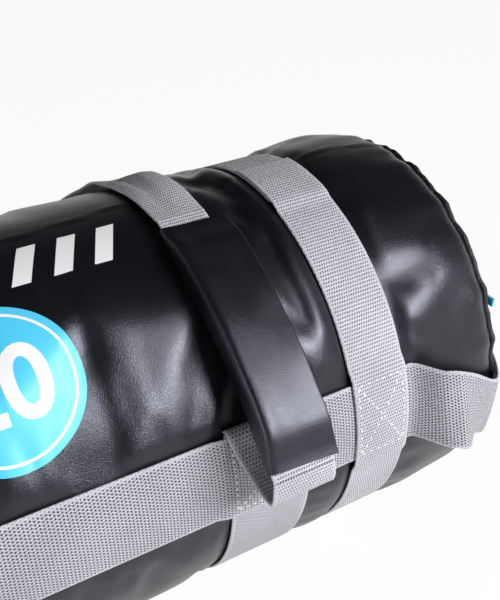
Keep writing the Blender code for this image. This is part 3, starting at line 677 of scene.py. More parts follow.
def footprint(x, angle):
    """1 under webbing, falling to 0 a little way beside it."""
    turn = abs(wrapped(angle))
    away = abs(abs(x) - BAND_X) - BAND_WIDTH / 2
    if turn > LIP_ANGLE:
        away = min(away, abs(abs(x) - GRIP_X) - BELLY_BAND_WIDTH / 2)
    if abs(x) < STRAP_END:
        away = min(away, abs(turn * RADIUS - STRAP_ANGLE * RADIUS) - STRAP_WIDTH / 2)
    return 1 - ease(away / HELD_RIM)


def pucker(angle, side):
    """Gathers of the leather into an end seam, from -1 to 1."""
    slow = math.sin(angle * 26 + 0.9 * math.sin(angle * 3 + side) + side)
    return 0.6 * slow + 0.4 * math.sin(angle * 41 + 1.3 * math.sin(angle * 5) - side)


def seam_angle(x):
    return math.radians(-2.6 + 1.5 * math.sin(x * 21 + 0.7) + 0.8 * math.sin(x * 47))


def fold_height(x, turn, x0, a0, x1, a1, left, right, rise):
    """A fold's height at one place, with its mirror images in the other quarters of the bag."""
    height = 0.0
    for mirror, flip in ((1, 1), (-1, 1), (-1, -1), (1, -1)):
        start = Vector((mirror * x0, flip * a0 * DEGREE_MM))
        run = Vector((mirror * x1, flip * a1 * DEGREE_MM)) - start
        spot = Vector((x * 1000, turn * RADIUS * 1000)) - start
        share = spot.dot(run) / run.length_squared
        beside = mirror * flip * run.cross(spot) / run.length
        width = left if beside > 0 else right
        if -FOLD_TAIL < share < 1 + FOLD_TAIL and abs(beside) < width * 3:
            tail = ease((share + FOLD_TAIL) / FOLD_TAIL) * ease((1 + FOLD_TAIL - share) / FOLD_TAIL)
            height += rise / 1000 * tail * bump(beside, width)
    return height


def relief(x, angle, depth):
    """Height of the cover's folds, gathers, seam and small dents off the ideal body."""
    turn = wrapped(angle)
    side = 1 if x > 0 else -1
    from_end = HALF_LENGTH - abs(x)
    from_seam = (turn - seam_angle(x)) * RADIUS
    place = Vector((x * 14, turn * RADIUS * 9, side * 3.1))
    height = sum(rise * noise.noise(place * fine) for fine, rise in DENTS)
    height += CUSHION * (0.5 + 0.5 * math.cos(turn) if abs(turn) > CUSHION_TURN else 1.0)
    height += GATHER_HEIGHT * math.exp(-from_end / GATHER_REACH) * pucker(angle, side)
    height -= END_DIP * bump(from_end, END_DIP_REACH)
    height += SWELL * bump(abs(x) - SWELL_X, SWELL_LENGTH) * bump(turn - SWELL_TURN, SWELL_SPAN)
    height += sum(rise * bump(from_seam - away, reach) for away, reach, rise in SEAM_RIDGES)
    height += sum(fold_height(x, turn, *fold) for fold in FOLDS)
    return height * (1 - footprint(x, angle)) * depth


def cover_object(depth):
    """The cover's ideal tube, inflated and let wrinkle between its webbing, then given its folds."""
    angles = turns(COVER_COLUMNS)
    stations = steps_between(-HALF_LENGTH, HALF_LENGTH, COVER_SPACING)
    points = [body_point(x, angle, -COVER_SINK) for x in stations for angle in angles]
    cover = make_object("leather_cover", points, tube_faces(len(stations), COVER_COLUMNS))
    puff_up(cover, stations, angles)
    modify(cover, "SUBSURF", levels=1, render_levels=1)
    for vertex in cover.data.vertices:
        away = Vector((vertex.co.y, vertex.co.z - AXIS_Z))
        angle = math.atan2(-away.x, away.y)
        grown = away * (1 + relief(vertex.co.x, angle, depth) / away.length)
        vertex.co = (vertex.co.x, grown.x, max(grown.y + AXIS_Z, FLOOR_CLEARANCE))
    modify(cover, "SOLIDIFY", thickness=LEATHER - FLOOR_CLEARANCE, offset=-1)
    cover.data.shade_smooth()
    return cover


def puff_up(cover, stations, angles):
    """Cloth simulation of the leather between its webbing, with the movement capped."""
    scene = bpy.context.scene
    rest = [vertex.co.copy() for vertex in cover.data.vertices]
    held = cover.vertex_groups.new(name="held")
    for row, x in enumerate(stations):
        for column, angle in enumerate(angles):
            weight = 1.0 if row in (0, len(stations) - 1) else footprint(x, angle)
            if abs(wrapped(angle)) > UNDERSIDE:
                weight = max(weight, UNDERSIDE_HOLD)
            held.add([row * len(angles) + column], weight, "REPLACE")
    cloth = cover.modifiers.new("cloth", "CLOTH")
    for key, value in CLOTH.items():
        setattr(cloth.settings, key, value)
    cloth.settings.effector_weights.gravity = 0.0
    cloth.collision_settings.use_collision = False
    cloth.point_cache.frame_start = 1
    cloth.point_cache.frame_end = PUFF_FRAMES
    for step in range(1, PUFF_FRAMES + 1):
        scene.frame_set(step)
    bake(cover)
    scene.frame_set(1)
    for vertex, before in zip(cover.data.vertices, rest):
        angle = math.atan2(-before.y, before.z - AXIS_Z)
        moved = (vertex.co - before) * (1 - footprint(before.x, angle))
        outward = Vector((0.0, before.y, before.z - AXIS_Z)).normalized()
        rise = clamp(moved.dot(outward), -PUFF_INWARD, PUFF_OUTWARD)
        along = clamp(moved.x, -PUFF_ALONG, PUFF_ALONG)
        vertex.co = before + outward * rise + Vector((along, 0.0, 0.0))


def skin_tree(context):
    graph = context.evaluated_depsgraph_get()
    return BVHTree.FromObject(bpy.data.objects["leather_cover"], graph)


def on_skin(tree, x, angle, lift):
    """The point of the finished cover at a place along and round the bag."""
    outward = Vector((0.0, -math.sin(angle), math.cos(angle)))
    start = AXIS + Vector((x, 0.0, 0.0)) + outward * (RADIUS + 0.03)
    hit = tree.ray_cast(start, -outward)[0]
    return (hit if hit else body_point(x, angle, 0.0)) + outward * lift


# Settings

def colour_field(name, description, default):
    return FloatVectorProperty(
        name=name, description=description, default=default, subtype="COLOR", min=0, max=1
    )


def length_field(name, description, default, least):
    return FloatProperty(name=name, description=description, default=default, min=least, unit="LENGTH")


def factor_field(name, description, default, least, most):
    return FloatProperty(
        name=name, description=description, default=default, min=least, max=most, subtype="FACTOR"
    )


def power_field(name, description, default):
    return FloatProperty(name=name, description=description, default=default, min=0, unit="POWER")


class SANDBAG_PG_cover(bpy.types.PropertyGroup):
    colour: colour_field("Leather", "Colour of the grained cover", (0.0038, 0.0042, 0.0058))
    fold_depth: factor_field("Fold depth", "Strength of folds and gathers", 1.0, 0, 2)
    grain_cells: FloatProperty(
        name="Grain cells", description="Leather grain cells in a metre", default=900.0, min=100, max=4000
    )
    seam_colour: colour_field("End seams", "Colour of the bound end seams", (0.0035, 0.0036, 0.0042))


class SANDBAG_PG_webbing(bpy.types.PropertyGroup):
    colour: colour_field("Webbing", "Colour of bands, straps and loops", (0.51, 0.50, 0.55))
    scale: factor_field("Weave", "Coarseness of the weave", 1.0, 0.4, 3)
    thread: colour_field("Thread", "Colour of the stitching", (0.93, 0.93, 0.96))


class SANDBAG_PG_grips(bpy.types.PropertyGroup):
    colour: colour_field("Sleeve", "Colour of the grip sleeves", (0.0040, 0.0045, 0.0065))
    width: length_field("Width", "Width of a sleeve", 0.0386, 0.02)
    depth: length_field("Depth", "Thickness of a sleeve", 0.018, 0.01)


class SANDBAG_PG_prints(bpy.types.PropertyGroup):
    number: StringProperty(name="Number", description="Weight in kilograms on the badge", default="20")
    badge: colour_field("Badge", "Colour of the round badge", (0.07, 0.37, 0.58))
    ink: colour_field("Ink", "Colour of number and bars", (0.93, 0.93, 0.95))
    radius: length_field("Badge radius", "Radius of the badge", 0.041, 0.01)
    bars: IntProperty(
        name="Bars", description="Number of slanted bars beside the badge", default=3, min=0, max=6
    )


class SANDBAG_PG_stage(bpy.types.PropertyGroup):
    key: power_field("Key light", "Power of the large front light", 18.0)
    side: power_field("Side light", "Power of the small left light", 3.5)
    fill: FloatProperty(
        name="Fill", description="Strength of the surrounding light", default=0.55, min=0, max=2
    )
    floor: colour_field("Floor", "Colour of the floor", (0.93, 0.93, 0.93))


class SANDBAG_OT_cover(bpy.types.Operator):
    """Makes the leather cover with its folds, top seam and gathers"""

    bl_idname = "sandbag.cover"
    bl_label = "Leather Cover"

    def execute(self, context):
        choice = context.scene.sandbag_cover
        cover = cover_object(choice.fold_depth)
        material = leather_material("grained_leather", choice.colour, choice.grain_cells)
        settle(cover, material, "root", "outer_shell", slot="leather")
        return {"FINISHED"}


class SANDBAG_OT_ends(bpy.types.Operator):
    """Makes the two end panels and their gathered, bound seams"""

    bl_idname = "sandbag.ends"
    bl_label = "Ends"

    def execute(self, context):
        choice = context.scene.sandbag_cover
        leather = leather_material("panel_leather", choice.colour, choice.grain_cells)
        binding = leather_material("seam_leather", choice.seam_colour, 1300.0, 1.0, 0.0002, (0.45, 0.6))
        for side, label in SIDES:
            panel = end_panel(side, label)
            settle(panel, leather, "root", f"end_panel_{label}", slot="leather")
            settle(end_seam(side, label), binding, "root", f"end_binding_{label}", slot="binding")
        return {"FINISHED"}


def end_panel(side, label):
    """A round of leather drawn tight over the filling, with gathers at its edge and the zip's slot."""
    centre = Vector((side * HALF_LENGTH, 0.0, AXIS_Z))
    points = []
    for ring in range(PANEL_RINGS + 1):
        share = ring / PANEL_RINGS
        for angle in turns(PANEL_COLUMNS):
            spot = (body_point(centre.x, angle, -(LEATHER + GAP)) - centre) * max(share, 0.002)
            gather = share**3 * pucker(angle * 0.9 + 1, side) * (1 - share**12)
            bulge = PANEL_BULGE * (1 - share**2) + PANEL_GATHER * gather
            if side > 0:
                aside = abs(spot.z + AXIS_Z - ZIP_Z) - ZIP_FLAT_HALF
                beyond = abs(spot.y) - ZIP_HIGH.y - ZIP_FLAT_END
                bulge *= ease(max(aside, beyond) / ZIP_FLAT_EASE)
            points.append(Vector((side * (HALF_LENGTH + bulge), spot.y, spot.z + AXIS_Z)))
    faces = [*tube_faces(PANEL_RINGS + 1, PANEL_COLUMNS), tuple(range(PANEL_COLUMNS))]
    panel = make_object(f"end_cover_{label}", points, faces, outward=False)
    if side < 0:
        panel.data.flip_normals()
    modify(panel, "SOLIDIFY", thickness=LEATHER, offset=side)
    face_outward(panel.data)
    if side > 0:
        cell = bmesh.new()
        bmesh.ops.create_cube(cell, size=1.0)
        for vertex in cell.verts:
            vertex.co = Vector((HALF_LENGTH, 0.0, ZIP_Z)) + vertex.co * ZIP_SLOT
        cutter = cell_object("slot", cell)
        modify(panel, "BOOLEAN", operation="DIFFERENCE", solver="EXACT", object=cutter)
        bpy.data.objects.remove(cutter)
    smooth_shade(panel.data, 50)
    return panel


def end_seam(side, label):
    """The rolled and stitched edge, gathered like the leather that runs into it."""
    columns = 360
    section = 14
    points = []
    for angle in turns(columns):
        gather = pucker(angle, side)
        base = body_radius(side * HALF_LENGTH, angle, 0.0) - SEAM_INSET + SEAM_GATHER * gather
        wide = SEAM_ROLL + 0.0003 * math.sin(angle * 90)
        for turn in turns(section):
            along = HALF_LENGTH + 0.0012 + 0.0004 * gather + 0.0022 * math.sin(turn)
            y, z = polar(angle, base + wide * math.cos(turn))
            points.append(Vector((side * along, y, max(z, SEAM_FLOOR))))
    return make_object(f"end_seam_{label}", points, tube_faces(columns, section, True))


# Webbing pieces

def band_lift(angle):
    turn = abs(wrapped(angle))
    over_strap = 1 - (abs(turn - STRAP_ANGLE) - STRAP_HALF - LAP / RADIUS) / (STEP / RADIUS)
    over_end = 1 - (angle - BAND_START - BAND_OVERLAP - 2 * LAP / RADIUS) / (STEP / RADIUS)
    return GAP + RISE * max(ease(over_strap), ease(over_end))


def strap_lift(x):
    clear = abs(abs(x) - GRIP_X) - BELLY_BAND_WIDTH / 2 - LAP
    return GAP + RISE * ease(1 - clear / STEP)


def wander(u, seed):
    """A small drift, for webbing that was sewn by hand."""
    return DRIFT * noise.noise(Vector((u * 9, seed, 0.3)))


def band_object(side, label):
    """A full turn of webbing whose front end lies over its lower one."""
    def spot(u, v, h):
        angle = BAND_START + u / RADIUS
        x = side * BAND_X + v + wander(u, side * 2.0)
        return body_point(x, angle, band_lift(angle) + h)

    stations = steps_between(0.0, (BAND_OVERLAP + TURN) * RADIUS, ROW_SPACING)
    return webbing_mesh(f"outer_webbing_{label}", stations, BAND_WIDTH, spot)


def belly_band_object(side, label):
    def spot(u, v, h):
        angle = LIP_ANGLE + u / RADIUS
        return body_point(side * GRIP_X + v + wander(u, side * 5.0), angle, GAP + h)

    stations = steps_between(0.0, (TURN - 2 * LIP_ANGLE) * RADIUS, ROW_SPACING)
    return webbing_mesh(f"belly_webbing_{label}", stations, BELLY_BAND_WIDTH, spot)


def strap_object(turn, label):
    def spot(u, v, h):
        angle = turn * (STRAP_ANGLE + (v + wander(u, turn * 3.0)) / RADIUS)
        return body_point(u, angle, strap_lift(u) + h)

    stations = steps_between(-STRAP_END, STRAP_END, ROW_SPACING)
    return webbing_mesh(f"{label}_webbing", stations, STRAP_WIDTH, spot)


def webbing_of(context, name, width, weave):
    """Webbing material in the chosen colour and coarseness."""
    choice = context.scene.sandbag_webbing
    return webbing_material(name, choice.colour, width / 2, weave, choice.scale)


class SANDBAG_OT_bands(bpy.types.Operator):
    """Makes the outer bands, the belly bands and the two lengthwise straps"""

    bl_idname = "sandbag.bands"
    bl_label = "Bands and Straps"

    def execute(self, context):
        plain = webbing_of(context, "band_webbing", BAND_WIDTH, "plain")
        ribbed = webbing_of(context, "belly_webbing", BELLY_BAND_WIDTH, "ribbed")
        knit = webbing_of(context, "strap_webbing", STRAP_WIDTH, "knit")
        for side, label in SIDES:
            settle(band_object(side, label), plain, "root", f"outer_band_{label}", slot="webbing")
            settle(belly_band_object(side, label), ribbed, "root", f"inner_band_{label}", slot="webbing")
        for turn, label in ((1, "front"), (-1, "back")):
            settle(strap_object(turn, label), knit, "root", f"{label}_strap", slot="webbing")
        return {"FINISHED"}


# End loops

LOOP_SHARES = (
    # along the loop's reach, out from the body, share of the drop, share of the lean
    (0.0, 0.85, 0.0, 0.9), (0.075, 1.0, 0.03, 1.0), (0.20, 0.82, 0.24, 0.5), (0.33, 0.60, 0.48, -0.2),
)
LOOP_CORNER_SHARES = (
    (0.465, 0.906, 0.74, -0.5), (0.605, 0.870, 0.94, -0.3), (0.752, 0.785, 1.0, 0.0),
    (0.87, 0.650, 1.0, 0.0), (0.965, 0.397, 1.0, 0.0), (1.0, 0.0, 1.0, 0.0),
)


def loop_path(side):
    """An end loop's middle line as (x, y, z, lean), from the front strap round the end to the back."""
    root_y = RADIUS + GAP + THICK / 2
    root_x = STRAP_END + LOOP_ROOT
    run = HALF_LENGTH + LOOP_REACH - root_x
    half = [(share[0], root_y + LOOP_BULGE * share[1], *share[2:]) for share in LOOP_SHARES]
    half += [(share[0], (root_y + LOOP_BULGE) * share[1], *share[2:]) for share in LOOP_CORNER_SHARES]
    points = []
    for turn, shares in ((1, half), (-1, half[-2::-1])):
        for along, y, fall, lean in shares:
            x, z = side * (root_x + run * along), STRAP_MID_Z - LOOP_DROP * fall
            points.append(Vector((x, -turn * y, z, turn * LOOP_LEAN * lean)))
    return smooth_path(points, 6)


def loop_edge(point, rise):
    """The place a distance above a point of the loop's middle line, leaning with it."""
    return point.to_3d() + Vector((0.0, point.w, 1.0)).normalized() * rise


def loop_rows(side):
    """Rows of points across an end loop, from the front strap round the bag's end to the back one."""
    path = loop_path(side)
    widths = [(column / LOOP_ACROSS - 0.5) * STRAP_WIDTH for column in range(LOOP_ACROSS + 1)]
    roots = []
    for turn, end in ((1, path[0]), (-1, path[-1])):
        root = []
        for row in range(LOOP_ROWS):
            share = row / LOOP_ROWS
            x = side * (STRAP_END + (abs(end.x) - STRAP_END) * share)
            line = []
            for v in widths:
                curved = body_point(x, turn * (STRAP_ANGLE - v / RADIUS), GAP + THICK / 2)
                flat = loop_edge(end, v)
                flat.x = x
                line.append(curved.lerp(flat, ease((share - ROOT_FLAT) / (1 - ROOT_FLAT))))
            root.append(line)
        roots.append(root)
    return roots[0] + [[loop_edge(point, v) for v in widths] for point in path] + roots[1][::-1]


def loop_object(side, label):
    """Strap webbing that leaves the round body, turns flat and goes round the bag's end."""
    rows = loop_rows(side)
    lengths = run_lengths([row[LOOP_ACROSS // 2] for row in rows])

    def at(u, v):
        index = clamp(int(np.searchsorted(lengths, u, side="right")) - 1, 0, len(rows) - 2)
        share = clamp((u - lengths[index]) / (lengths[index + 1] - lengths[index]))
        place = clamp((v / STRAP_WIDTH + 0.5) * LOOP_ACROSS, 0, LOOP_ACROSS)
        column = min(int(place), LOOP_ACROSS - 1)
        near, far = (row[column].lerp(row[column + 1], place - column) for row in rows[index:index + 2])
        return near.lerp(far, share)

    def spot(u, v, h):
        ahead = at(min(u + 0.002, lengths[-1]), v) - at(max(u - 0.002, 0.0), v)
        over = at(u, min(v + 0.004, STRAP_WIDTH / 2)) - at(u, max(v - 0.004, -STRAP_WIDTH / 2))
        normal = ahead.cross(over).normalized() * side
        cup = LOOP_CUP * (abs(v) / STRAP_WIDTH * 2) ** 2 * math.sin(math.pi * u / lengths[-1])
        return at(u, v) + normal * (h - THICK / 2 - cup)

    stations = steps_between(0.0, lengths[-1], ROW_SPACING)
    return webbing_mesh(f"loop_webbing_{label}", stations, STRAP_WIDTH, spot)


class SANDBAG_OT_end_loops(bpy.types.Operator):
    """Makes the lifting loop at each end"""

    bl_idname = "sandbag.end_loops"
    bl_label = "End Loops"

    def execute(self, context):
        knit = webbing_of(context, "strap_webbing", STRAP_WIDTH, "knit")
        for side, label in SIDES:
            nodes = [f"end_loop_{label}", f"end_loop_root_front_{label}", f"end_loop_root_back_{label}"]
            start = (side * STRAP_END, 0.0, STRAP_MID_Z)
            end = (side * (STRAP_END + LOOP_ROOT), 0.0, STRAP_MID_Z)
            joint = (f"end_loop_{label}", start, end)
            settle(loop_object(side, label), knit, "root", *nodes, slot="webbing", joint=joint)
        return {"FINISHED"}


# Grips

def grip_point(share, outward=0.0):
    top = polar(GRIP_TOP, RADIUS + GRIP_TOP_OUT)
    bottom = polar(GRIP_BOTTOM, RADIUS + GRIP_BOTTOM_OUT)
    run = bottom - top
    across = Vector((run.y, -run.x)).normalized()
    point = top + run * share + across * GRIP_BOW * 4 * share * (1 - share)
    slope = run + across * GRIP_BOW * 4 * (1 - 2 * share)
    return point + Vector((slope.y, -slope.x)).normalized() * outward


GRIP_LENGTH = (grip_point(1.0) - grip_point(0.0)).length

# Arch of the gathered handle webbing: its section, and its height at places round the bag
CROWN_ACROSS = (-1.0, -0.8, -0.62, -0.45, -0.3, 0.0, 0.3, 0.6, 0.85, 1.0)
CROWN_SHARES = (0.0, 0.22, 0.32, 0.24, 0.42, 0.86, 1.0, 0.92, 0.5, 0.0)
CROWN_SEAT = 0.45
CROWN_ANGLES = (-56, -38, -28, -20, -11, -2, 6, 13)
CROWN_RISES = (0.0, 0.0002, 0.0014, 0.0044, 0.0066, 0.0058, 0.0030, 0.0006)

SLEEVE_SECTION = (
    # shares of half the width and half the depth, from the rolled edge over the front
    (-1.0, 0.0), (-0.985, 0.40), (-0.93, 0.76), (-0.83, 0.93), (-0.71, 0.98), (-0.58, 0.975),
    (-0.44, 0.94), (-0.28, 0.91), (0.0, 0.90), (0.30, 0.90), (0.60, 0.90), (0.86, 0.90),
    (0.955, 0.89), (0.993, 0.78), (1.0, 0.45), (0.985, -0.15), (0.95, -0.62), (0.84, -0.88),
    (0.60, -0.98), (0.20, -0.93), (-0.20, -0.93), (-0.60, -1.0), (-0.85, -0.86), (-0.97, -0.45),
)


def sleeve_object(side, label, choice):
    """The leather sleeve, rolled at one edge and creased at the other."""
    section = smooth_path([Vector(point) for point in (*SLEEVE_SECTION, SLEEVE_SECTION[0])], 3)[:-1]
    long = GRIP_LENGTH - SLEEVE_TOP_INSET - SLEEVE_BOTTOM_INSET
    points = []
    for station in range(SLEEVE_STATIONS + 1):
        along = long * station / SLEEVE_STATIONS
        share = (SLEEVE_TOP_INSET + along) / GRIP_LENGTH
        mouth = ease(min(along, long - along) / SLEEVE_MOUTH)
        thick = SLEEVE_MOUTH_SHARE + (1 - SLEEVE_MOUTH_SHARE) * mouth
        flare = 1 + 0.03 * ease((share - 0.75) / 0.25)
        for across, outward in section:
            across *= side
            slack = SLEEVE_SLACK * noise.noise(Vector((share * 7, across * 1.3, outward + side))) * mouth
            front = SLEEVE_SWELL * math.sin(share * math.pi) if outward > 0.5 else 0.0
            slip = 0.0
            if station in (0, SLEEVE_STATIONS):
                slip = 0.0012 * across if share > 0.5 else 0.0016 * across**3
            reach = outward * choice.depth / 2 * thick + slack + front
            y, z = grip_point(share + slip / GRIP_LENGTH, reach)
            points.append(Vector((side * GRIP_X + across * choice.width / 2 * flare, y, z)))
    faces = tube_faces(SLEEVE_STATIONS + 1, len(section))
    sleeve = make_object(f"grip_sleeve_cover_{label}", points, faces)
    modify(sleeve, "SOLIDIFY", thickness=SLEEVE_WALL, offset=-1, use_even_offset=True)
    smooth_shade(sleeve.data, 55)
    return sleeve


def rounded(value, power):
    """A sine or cosine with its curve squared off."""
    return math.copysign(abs(value) ** power, value)


def capped_tube(name, points, rows, columns):
    """A tube with both ends closed."""
    ends = [tuple(range(columns)), tuple(range((rows - 1) * columns, rows * columns))]
    return make_object(name, points, tube_faces(rows, columns) + ends)


def pad_object(side, label, face, outward):
    """A foam slab with soft edges, bent along the grip."""
    stations, columns = 20, 20
    length = GRIP_LENGTH - 2 * PAD_INSET
    points = []
    for station in range(stations + 1):
        share = (PAD_INSET + length * station / stations) / GRIP_LENGTH
        end = clamp(min(station, stations - station) / 2)
        for turn in turns(columns):
            across = PAD_HALF_WIDTH * rounded(math.cos(turn), 0.4) * (0.92 + 0.08 * end)
            lift = PAD_HALF_THICK * rounded(math.sin(turn), 0.5) * (0.7 + 0.3 * end)
            points.append(Vector((side * GRIP_X + across, *grip_point(share, outward + lift))))
    return capped_tube(f"grip_foam_{face}_{label}", points, stations + 1, columns)


def core_width(share):
    """Width of the webbing inside a grip: gathered, but nearly flat again at its lower mouth."""
    return GATHERED_WIDTH + (MOUTH_WIDTH - GATHERED_WIDTH) * ease((share - 0.80) / 0.16)


def leg_strip(name, path, side, spacing, crowned=False):
    """Handle webbing along points of (y, z, width, lean). Crowned webbing arches over the bag's top."""
    spot, lengths = path_spot([point.to_2d() for point in path])
    widths = [point.z for point in path]
    leans = [point.w for point in path]

    def shaped(u, v, h):
        width = float(np.interp(u, lengths, widths))
        gathered = clamp((HANDLE_WIDTH - width) / (HANDLE_WIDTH - GATHERED_WIDTH))
        share = side * v / (HANDLE_WIDTH / 2)
        rise = -share * float(np.interp(u, lengths, leans)) * LOOP_TWIST / 2
        if crowned:
            middle = spot(u, -THICK / 2)
            turn = math.degrees(math.atan2(-middle.x, middle.y - AXIS_Z))
            arch = float(np.interp(share, CROWN_ACROSS, CROWN_SHARES)) - CROWN_SEAT
            rise += arch * float(np.interp(turn, CROWN_ANGLES, CROWN_RISES, left=0.0))
        x = side * (GRIP_X - GATHER_SHIFT * gathered) + v * width / HANDLE_WIDTH
        return Vector((x, *spot(u, h + rise - THICK / 2)))

    stations = steps_between(0.0, lengths[-1], spacing)
    return webbing_mesh(name, stations, HANDLE_WIDTH, shaped, columns=22)


class SANDBAG_OT_grips(bpy.types.Operator):
    """Makes the two grips: sleeve, foam pads and the webbing between them"""

    bl_idname = "sandbag.grips"
    bl_label = "Grips"

    def execute(self, context):
        choice = context.scene.sandbag_grips
        leather = leather_material("sleeve_leather", choice.colour, 1150.0, 0.8)
        foam = cloth_material("grip_foam", (0.05, 0.05, 0.055), 900.0)
        plain = webbing_of(context, "handle_webbing", HANDLE_WIDTH, "plain")
        for side, label in SIDES:
            sleeve = sleeve_object(side, label, choice)
            settle(sleeve, leather, f"grip_{label}", f"grip_sleeve_{label}", slot="grip_leather")
            for face, outward in (("outer", PAD_OUT), ("inner", -PAD_OUT)):
                pad = pad_object(side, label, face, outward)
                settle(pad, foam, f"grip_{label}", f"grip_pad_{face}_{label}", slot="foam")
            shares = [0.0005 + 0.999 * step / CORE_STEPS for step in range(CORE_STEPS + 1)]
            path = [Vector((*grip_point(share), core_width(share), 0.0)) for share in shares]
            strip = leg_strip(f"grip_core_webbing_{label}", path, side, ROW_SPACING)
            settle(strip, plain, f"grip_{label}", f"grip_webbing_{label}", slot="webbing")
        return {"FINISHED"}


def leg_width(spread):
    """Width of handle webbing: 1 at the inner band, 0 where it hangs free, -1 gathered at a grip."""
    other = BELLY_BAND_WIDTH if spread > 0 else GATHERED_WIDTH
    return HANDLE_WIDTH + (other - HANDLE_WIDTH) * abs(spread)


FOLD_SHARES = (
    # share of the strap's width, of the fold's stand-off, spread
    (0.0, 0.0, 0.98), (0.0, 0.62, 0.98), (0.065, 1.0, 0.98), (0.16, 1.12, 0.8), (0.27, 1.5, 0.6),
)


def fold_places(turn):
    """The webbing's way out from under the strap, as places of (angle, stand-off, spread, lean)."""
    start = LIP_ANGLE - (THICK / 2 + GAP * 3 / 2) / RADIUS
    places = []
    for share, rise, spread in FOLD_SHARES:
        angle = turn * (start + STRAP_HALF * 2 * share)
        places.append((angle, GAP + (FOLD_OUT - GAP) * rise, spread, 0.0))
    return places


def handle_points(places, share, end_width):
    """A smooth path of (y, z, width, lean) through places like those of the fold, up to a grip."""
    points = []
    for angle, out, spread, lean in places:
        points.append(Vector((*polar(angle, RADIUS + out), leg_width(spread), lean)))
    end = grip_point(share)
    last = end + (points[-1].to_2d() - end).normalized() * GAP / 3
    points.append(Vector((*last, end_width, 0.0)))
    return smooth_path(points, 6)


LOWER_TIPS = (
    # round the outermost point: share of the strap's width, of the stand-off, spread
    (0.38, 0.37, 0.27), (0.475, 0.56, 0.1), (0.53, 0.74, 0.0), (0.52, 0.87, 0.0), (0.43, 0.945, 0.0),
)
UPPER_TIPS = (
    # the same behind the bag, with lean
    (0.38, 0.40, 0.27, 0.0), (0.47, 0.62, 0.1, 0.08), (0.48, 0.84, 0.0, 0.25), (0.36, 0.98, 0.0, 0.5),
    (0.16, 1.02, 0.0, 0.7),
)
UPPER_RISES = (
    # up the back: share of the angle to the top, of the rise in stand-off, spread, lean
    (0.98, 0.82, 0.0, 0.8), (0.89, 0.49, -0.1, 0.98), (0.76, 0.16, -0.3, 1.08), (0.61, -0.045, -0.5, 1.0),
    (0.45, -0.05, -0.7, 0.78), (0.32, -0.03, -0.7, 0.42),
)
# over the top: share of the grip's upper angle, of the rise to the grip, lean
UPPER_TOPS = ((-0.9, 0.34, 0.10), (0.0, 0.80, 0.0))


def strap_share(share):
    """The angle above the strap's lip by a share of the strap's width."""
    return LIP_ANGLE + STRAP_HALF * 2 * share


def lower_handle_path():
    tips = [(strap_share(angle), GRIP_BOTTOM_OUT * out, spread, 0.0) for angle, out, spread in LOWER_TIPS]
    return handle_points(fold_places(1) + tips, 1.0, MOUTH_WIDTH)


def upper_handle_path():
    places = fold_places(-1)
    for angle, out, spread, lean in UPPER_TIPS:
        places.append((-strap_share(angle), LOOP_BACK_OUT * out, spread, lean))
    for angle, out, spread, lean in UPPER_RISES:
        out = LOOP_TOP_OUT + (LOOP_BACK_OUT - LOOP_TOP_OUT) * out
        places.append((-LIP_ANGLE * angle, out, spread, lean))
    for angle, out, lean in UPPER_TOPS:
        out = LOOP_TOP_OUT + (GRIP_TOP_OUT - LOOP_TOP_OUT) * out
        places.append((GRIP_TOP * angle, out, -0.8, lean))
    return handle_points(places, 0.0, GATHERED_WIDTH)


class SANDBAG_OT_handles(bpy.types.Operator):
    """Makes the webbing over the top of the bag and the fold below each grip"""

    bl_idname = "sandbag.handles"
    bl_label = "Handle Webbing"

    def execute(self, context):
        plain = webbing_of(context, "handle_webbing", HANDLE_WIDTH, "plain")
        for side, label in SIDES:
            name = f"upper_handle_webbing_{label}"
            upper = leg_strip(name, upper_handle_path(), side, ROW_SPACING, True)
            settle(upper, plain, "root", f"handle_upper_leg_{label}", slot="webbing")
            path = lower_handle_path()
            lower = leg_strip(f"lower_handle_webbing_{label}", path, side, 0.0025)
            start = (side * GRIP_X, path[0].x - 0.004, path[0].y)
            end = (side * GRIP_X, path[-1].x + 0.001, path[-1].y)
            joint = (f"grip_{label}", start, end)
            settle(lower, plain, "root", f"handle_lower_leg_{label}", slot="webbing", joint=joint)
        return {"FINISHED"}


# Stitching

def dashes(corners, surface, dash, gap):
    """Stitches along a line of (x, angle) corners, each a list of surface points with their outward."""
    runs = []
    for start, end in zip(corners, corners[1:]):
        arc = math.hypot(end[0] - start[0], (end[1] - start[1]) * RADIUS)
        count = max(1, int(arc / (dash + gap)))
        for index in range(count):
            low = (index + 0.5) / count - dash / arc / 2
            run = []
            for step in range(STITCH_POINTS):
                share = low + dash / arc * step / (STITCH_POINTS - 1)
                x = start[0] + (end[0] - start[0]) * share
                angle = start[1] + (end[1] - start[1]) * share
                run.append((surface(x, angle), Vector((0.0, -math.sin(angle), math.cos(angle)))))
            runs.append(run)
    return runs


def stitch_object(name, runs, size=0.00055):
    """Thread that rises out of the webbing and goes back in at each stitch."""
    profile = ((0.35, -0.9), (0.85, 0.1), (1.0, 0.45), (1.0, 0.45), (0.85, 0.1), (0.35, -0.9))
    sides = 6
    points, faces = [], []
    for run in runs:
        base = len(points)
        along = (run[-1][0] - run[0][0]).normalized()
        for (point, outward), (wide, lift) in zip(run, profile):
            over = along.cross(outward)
            for turn in turns(sides):
                up = outward * size * (lift + 0.7 * wide * math.sin(turn))
                points.append(point + over * math.cos(turn) * size * wide + up)
        faces += [tuple(base + corner for corner in face) for face in tube_faces(len(run), sides)]
        for first in (base, base + (len(run) - 1) * sides):
            faces.append(tuple(first + step for step in range(sides)))
    return make_object(name, points, faces, smooth=80)


def box_with_cross(x0, x1, a0, a1):
    """Corners of a stitched box and of its two diagonals."""
    square = [(x0, a0), (x1, a0), (x1, a1), (x0, a1), (x0, a0)]
    return [square, [(x0, a0), (x1, a1)], [(x0, a1), (x1, a0)]]


def on_band(x, angle):
    return body_point(x, angle, band_lift(angle) + THICK)


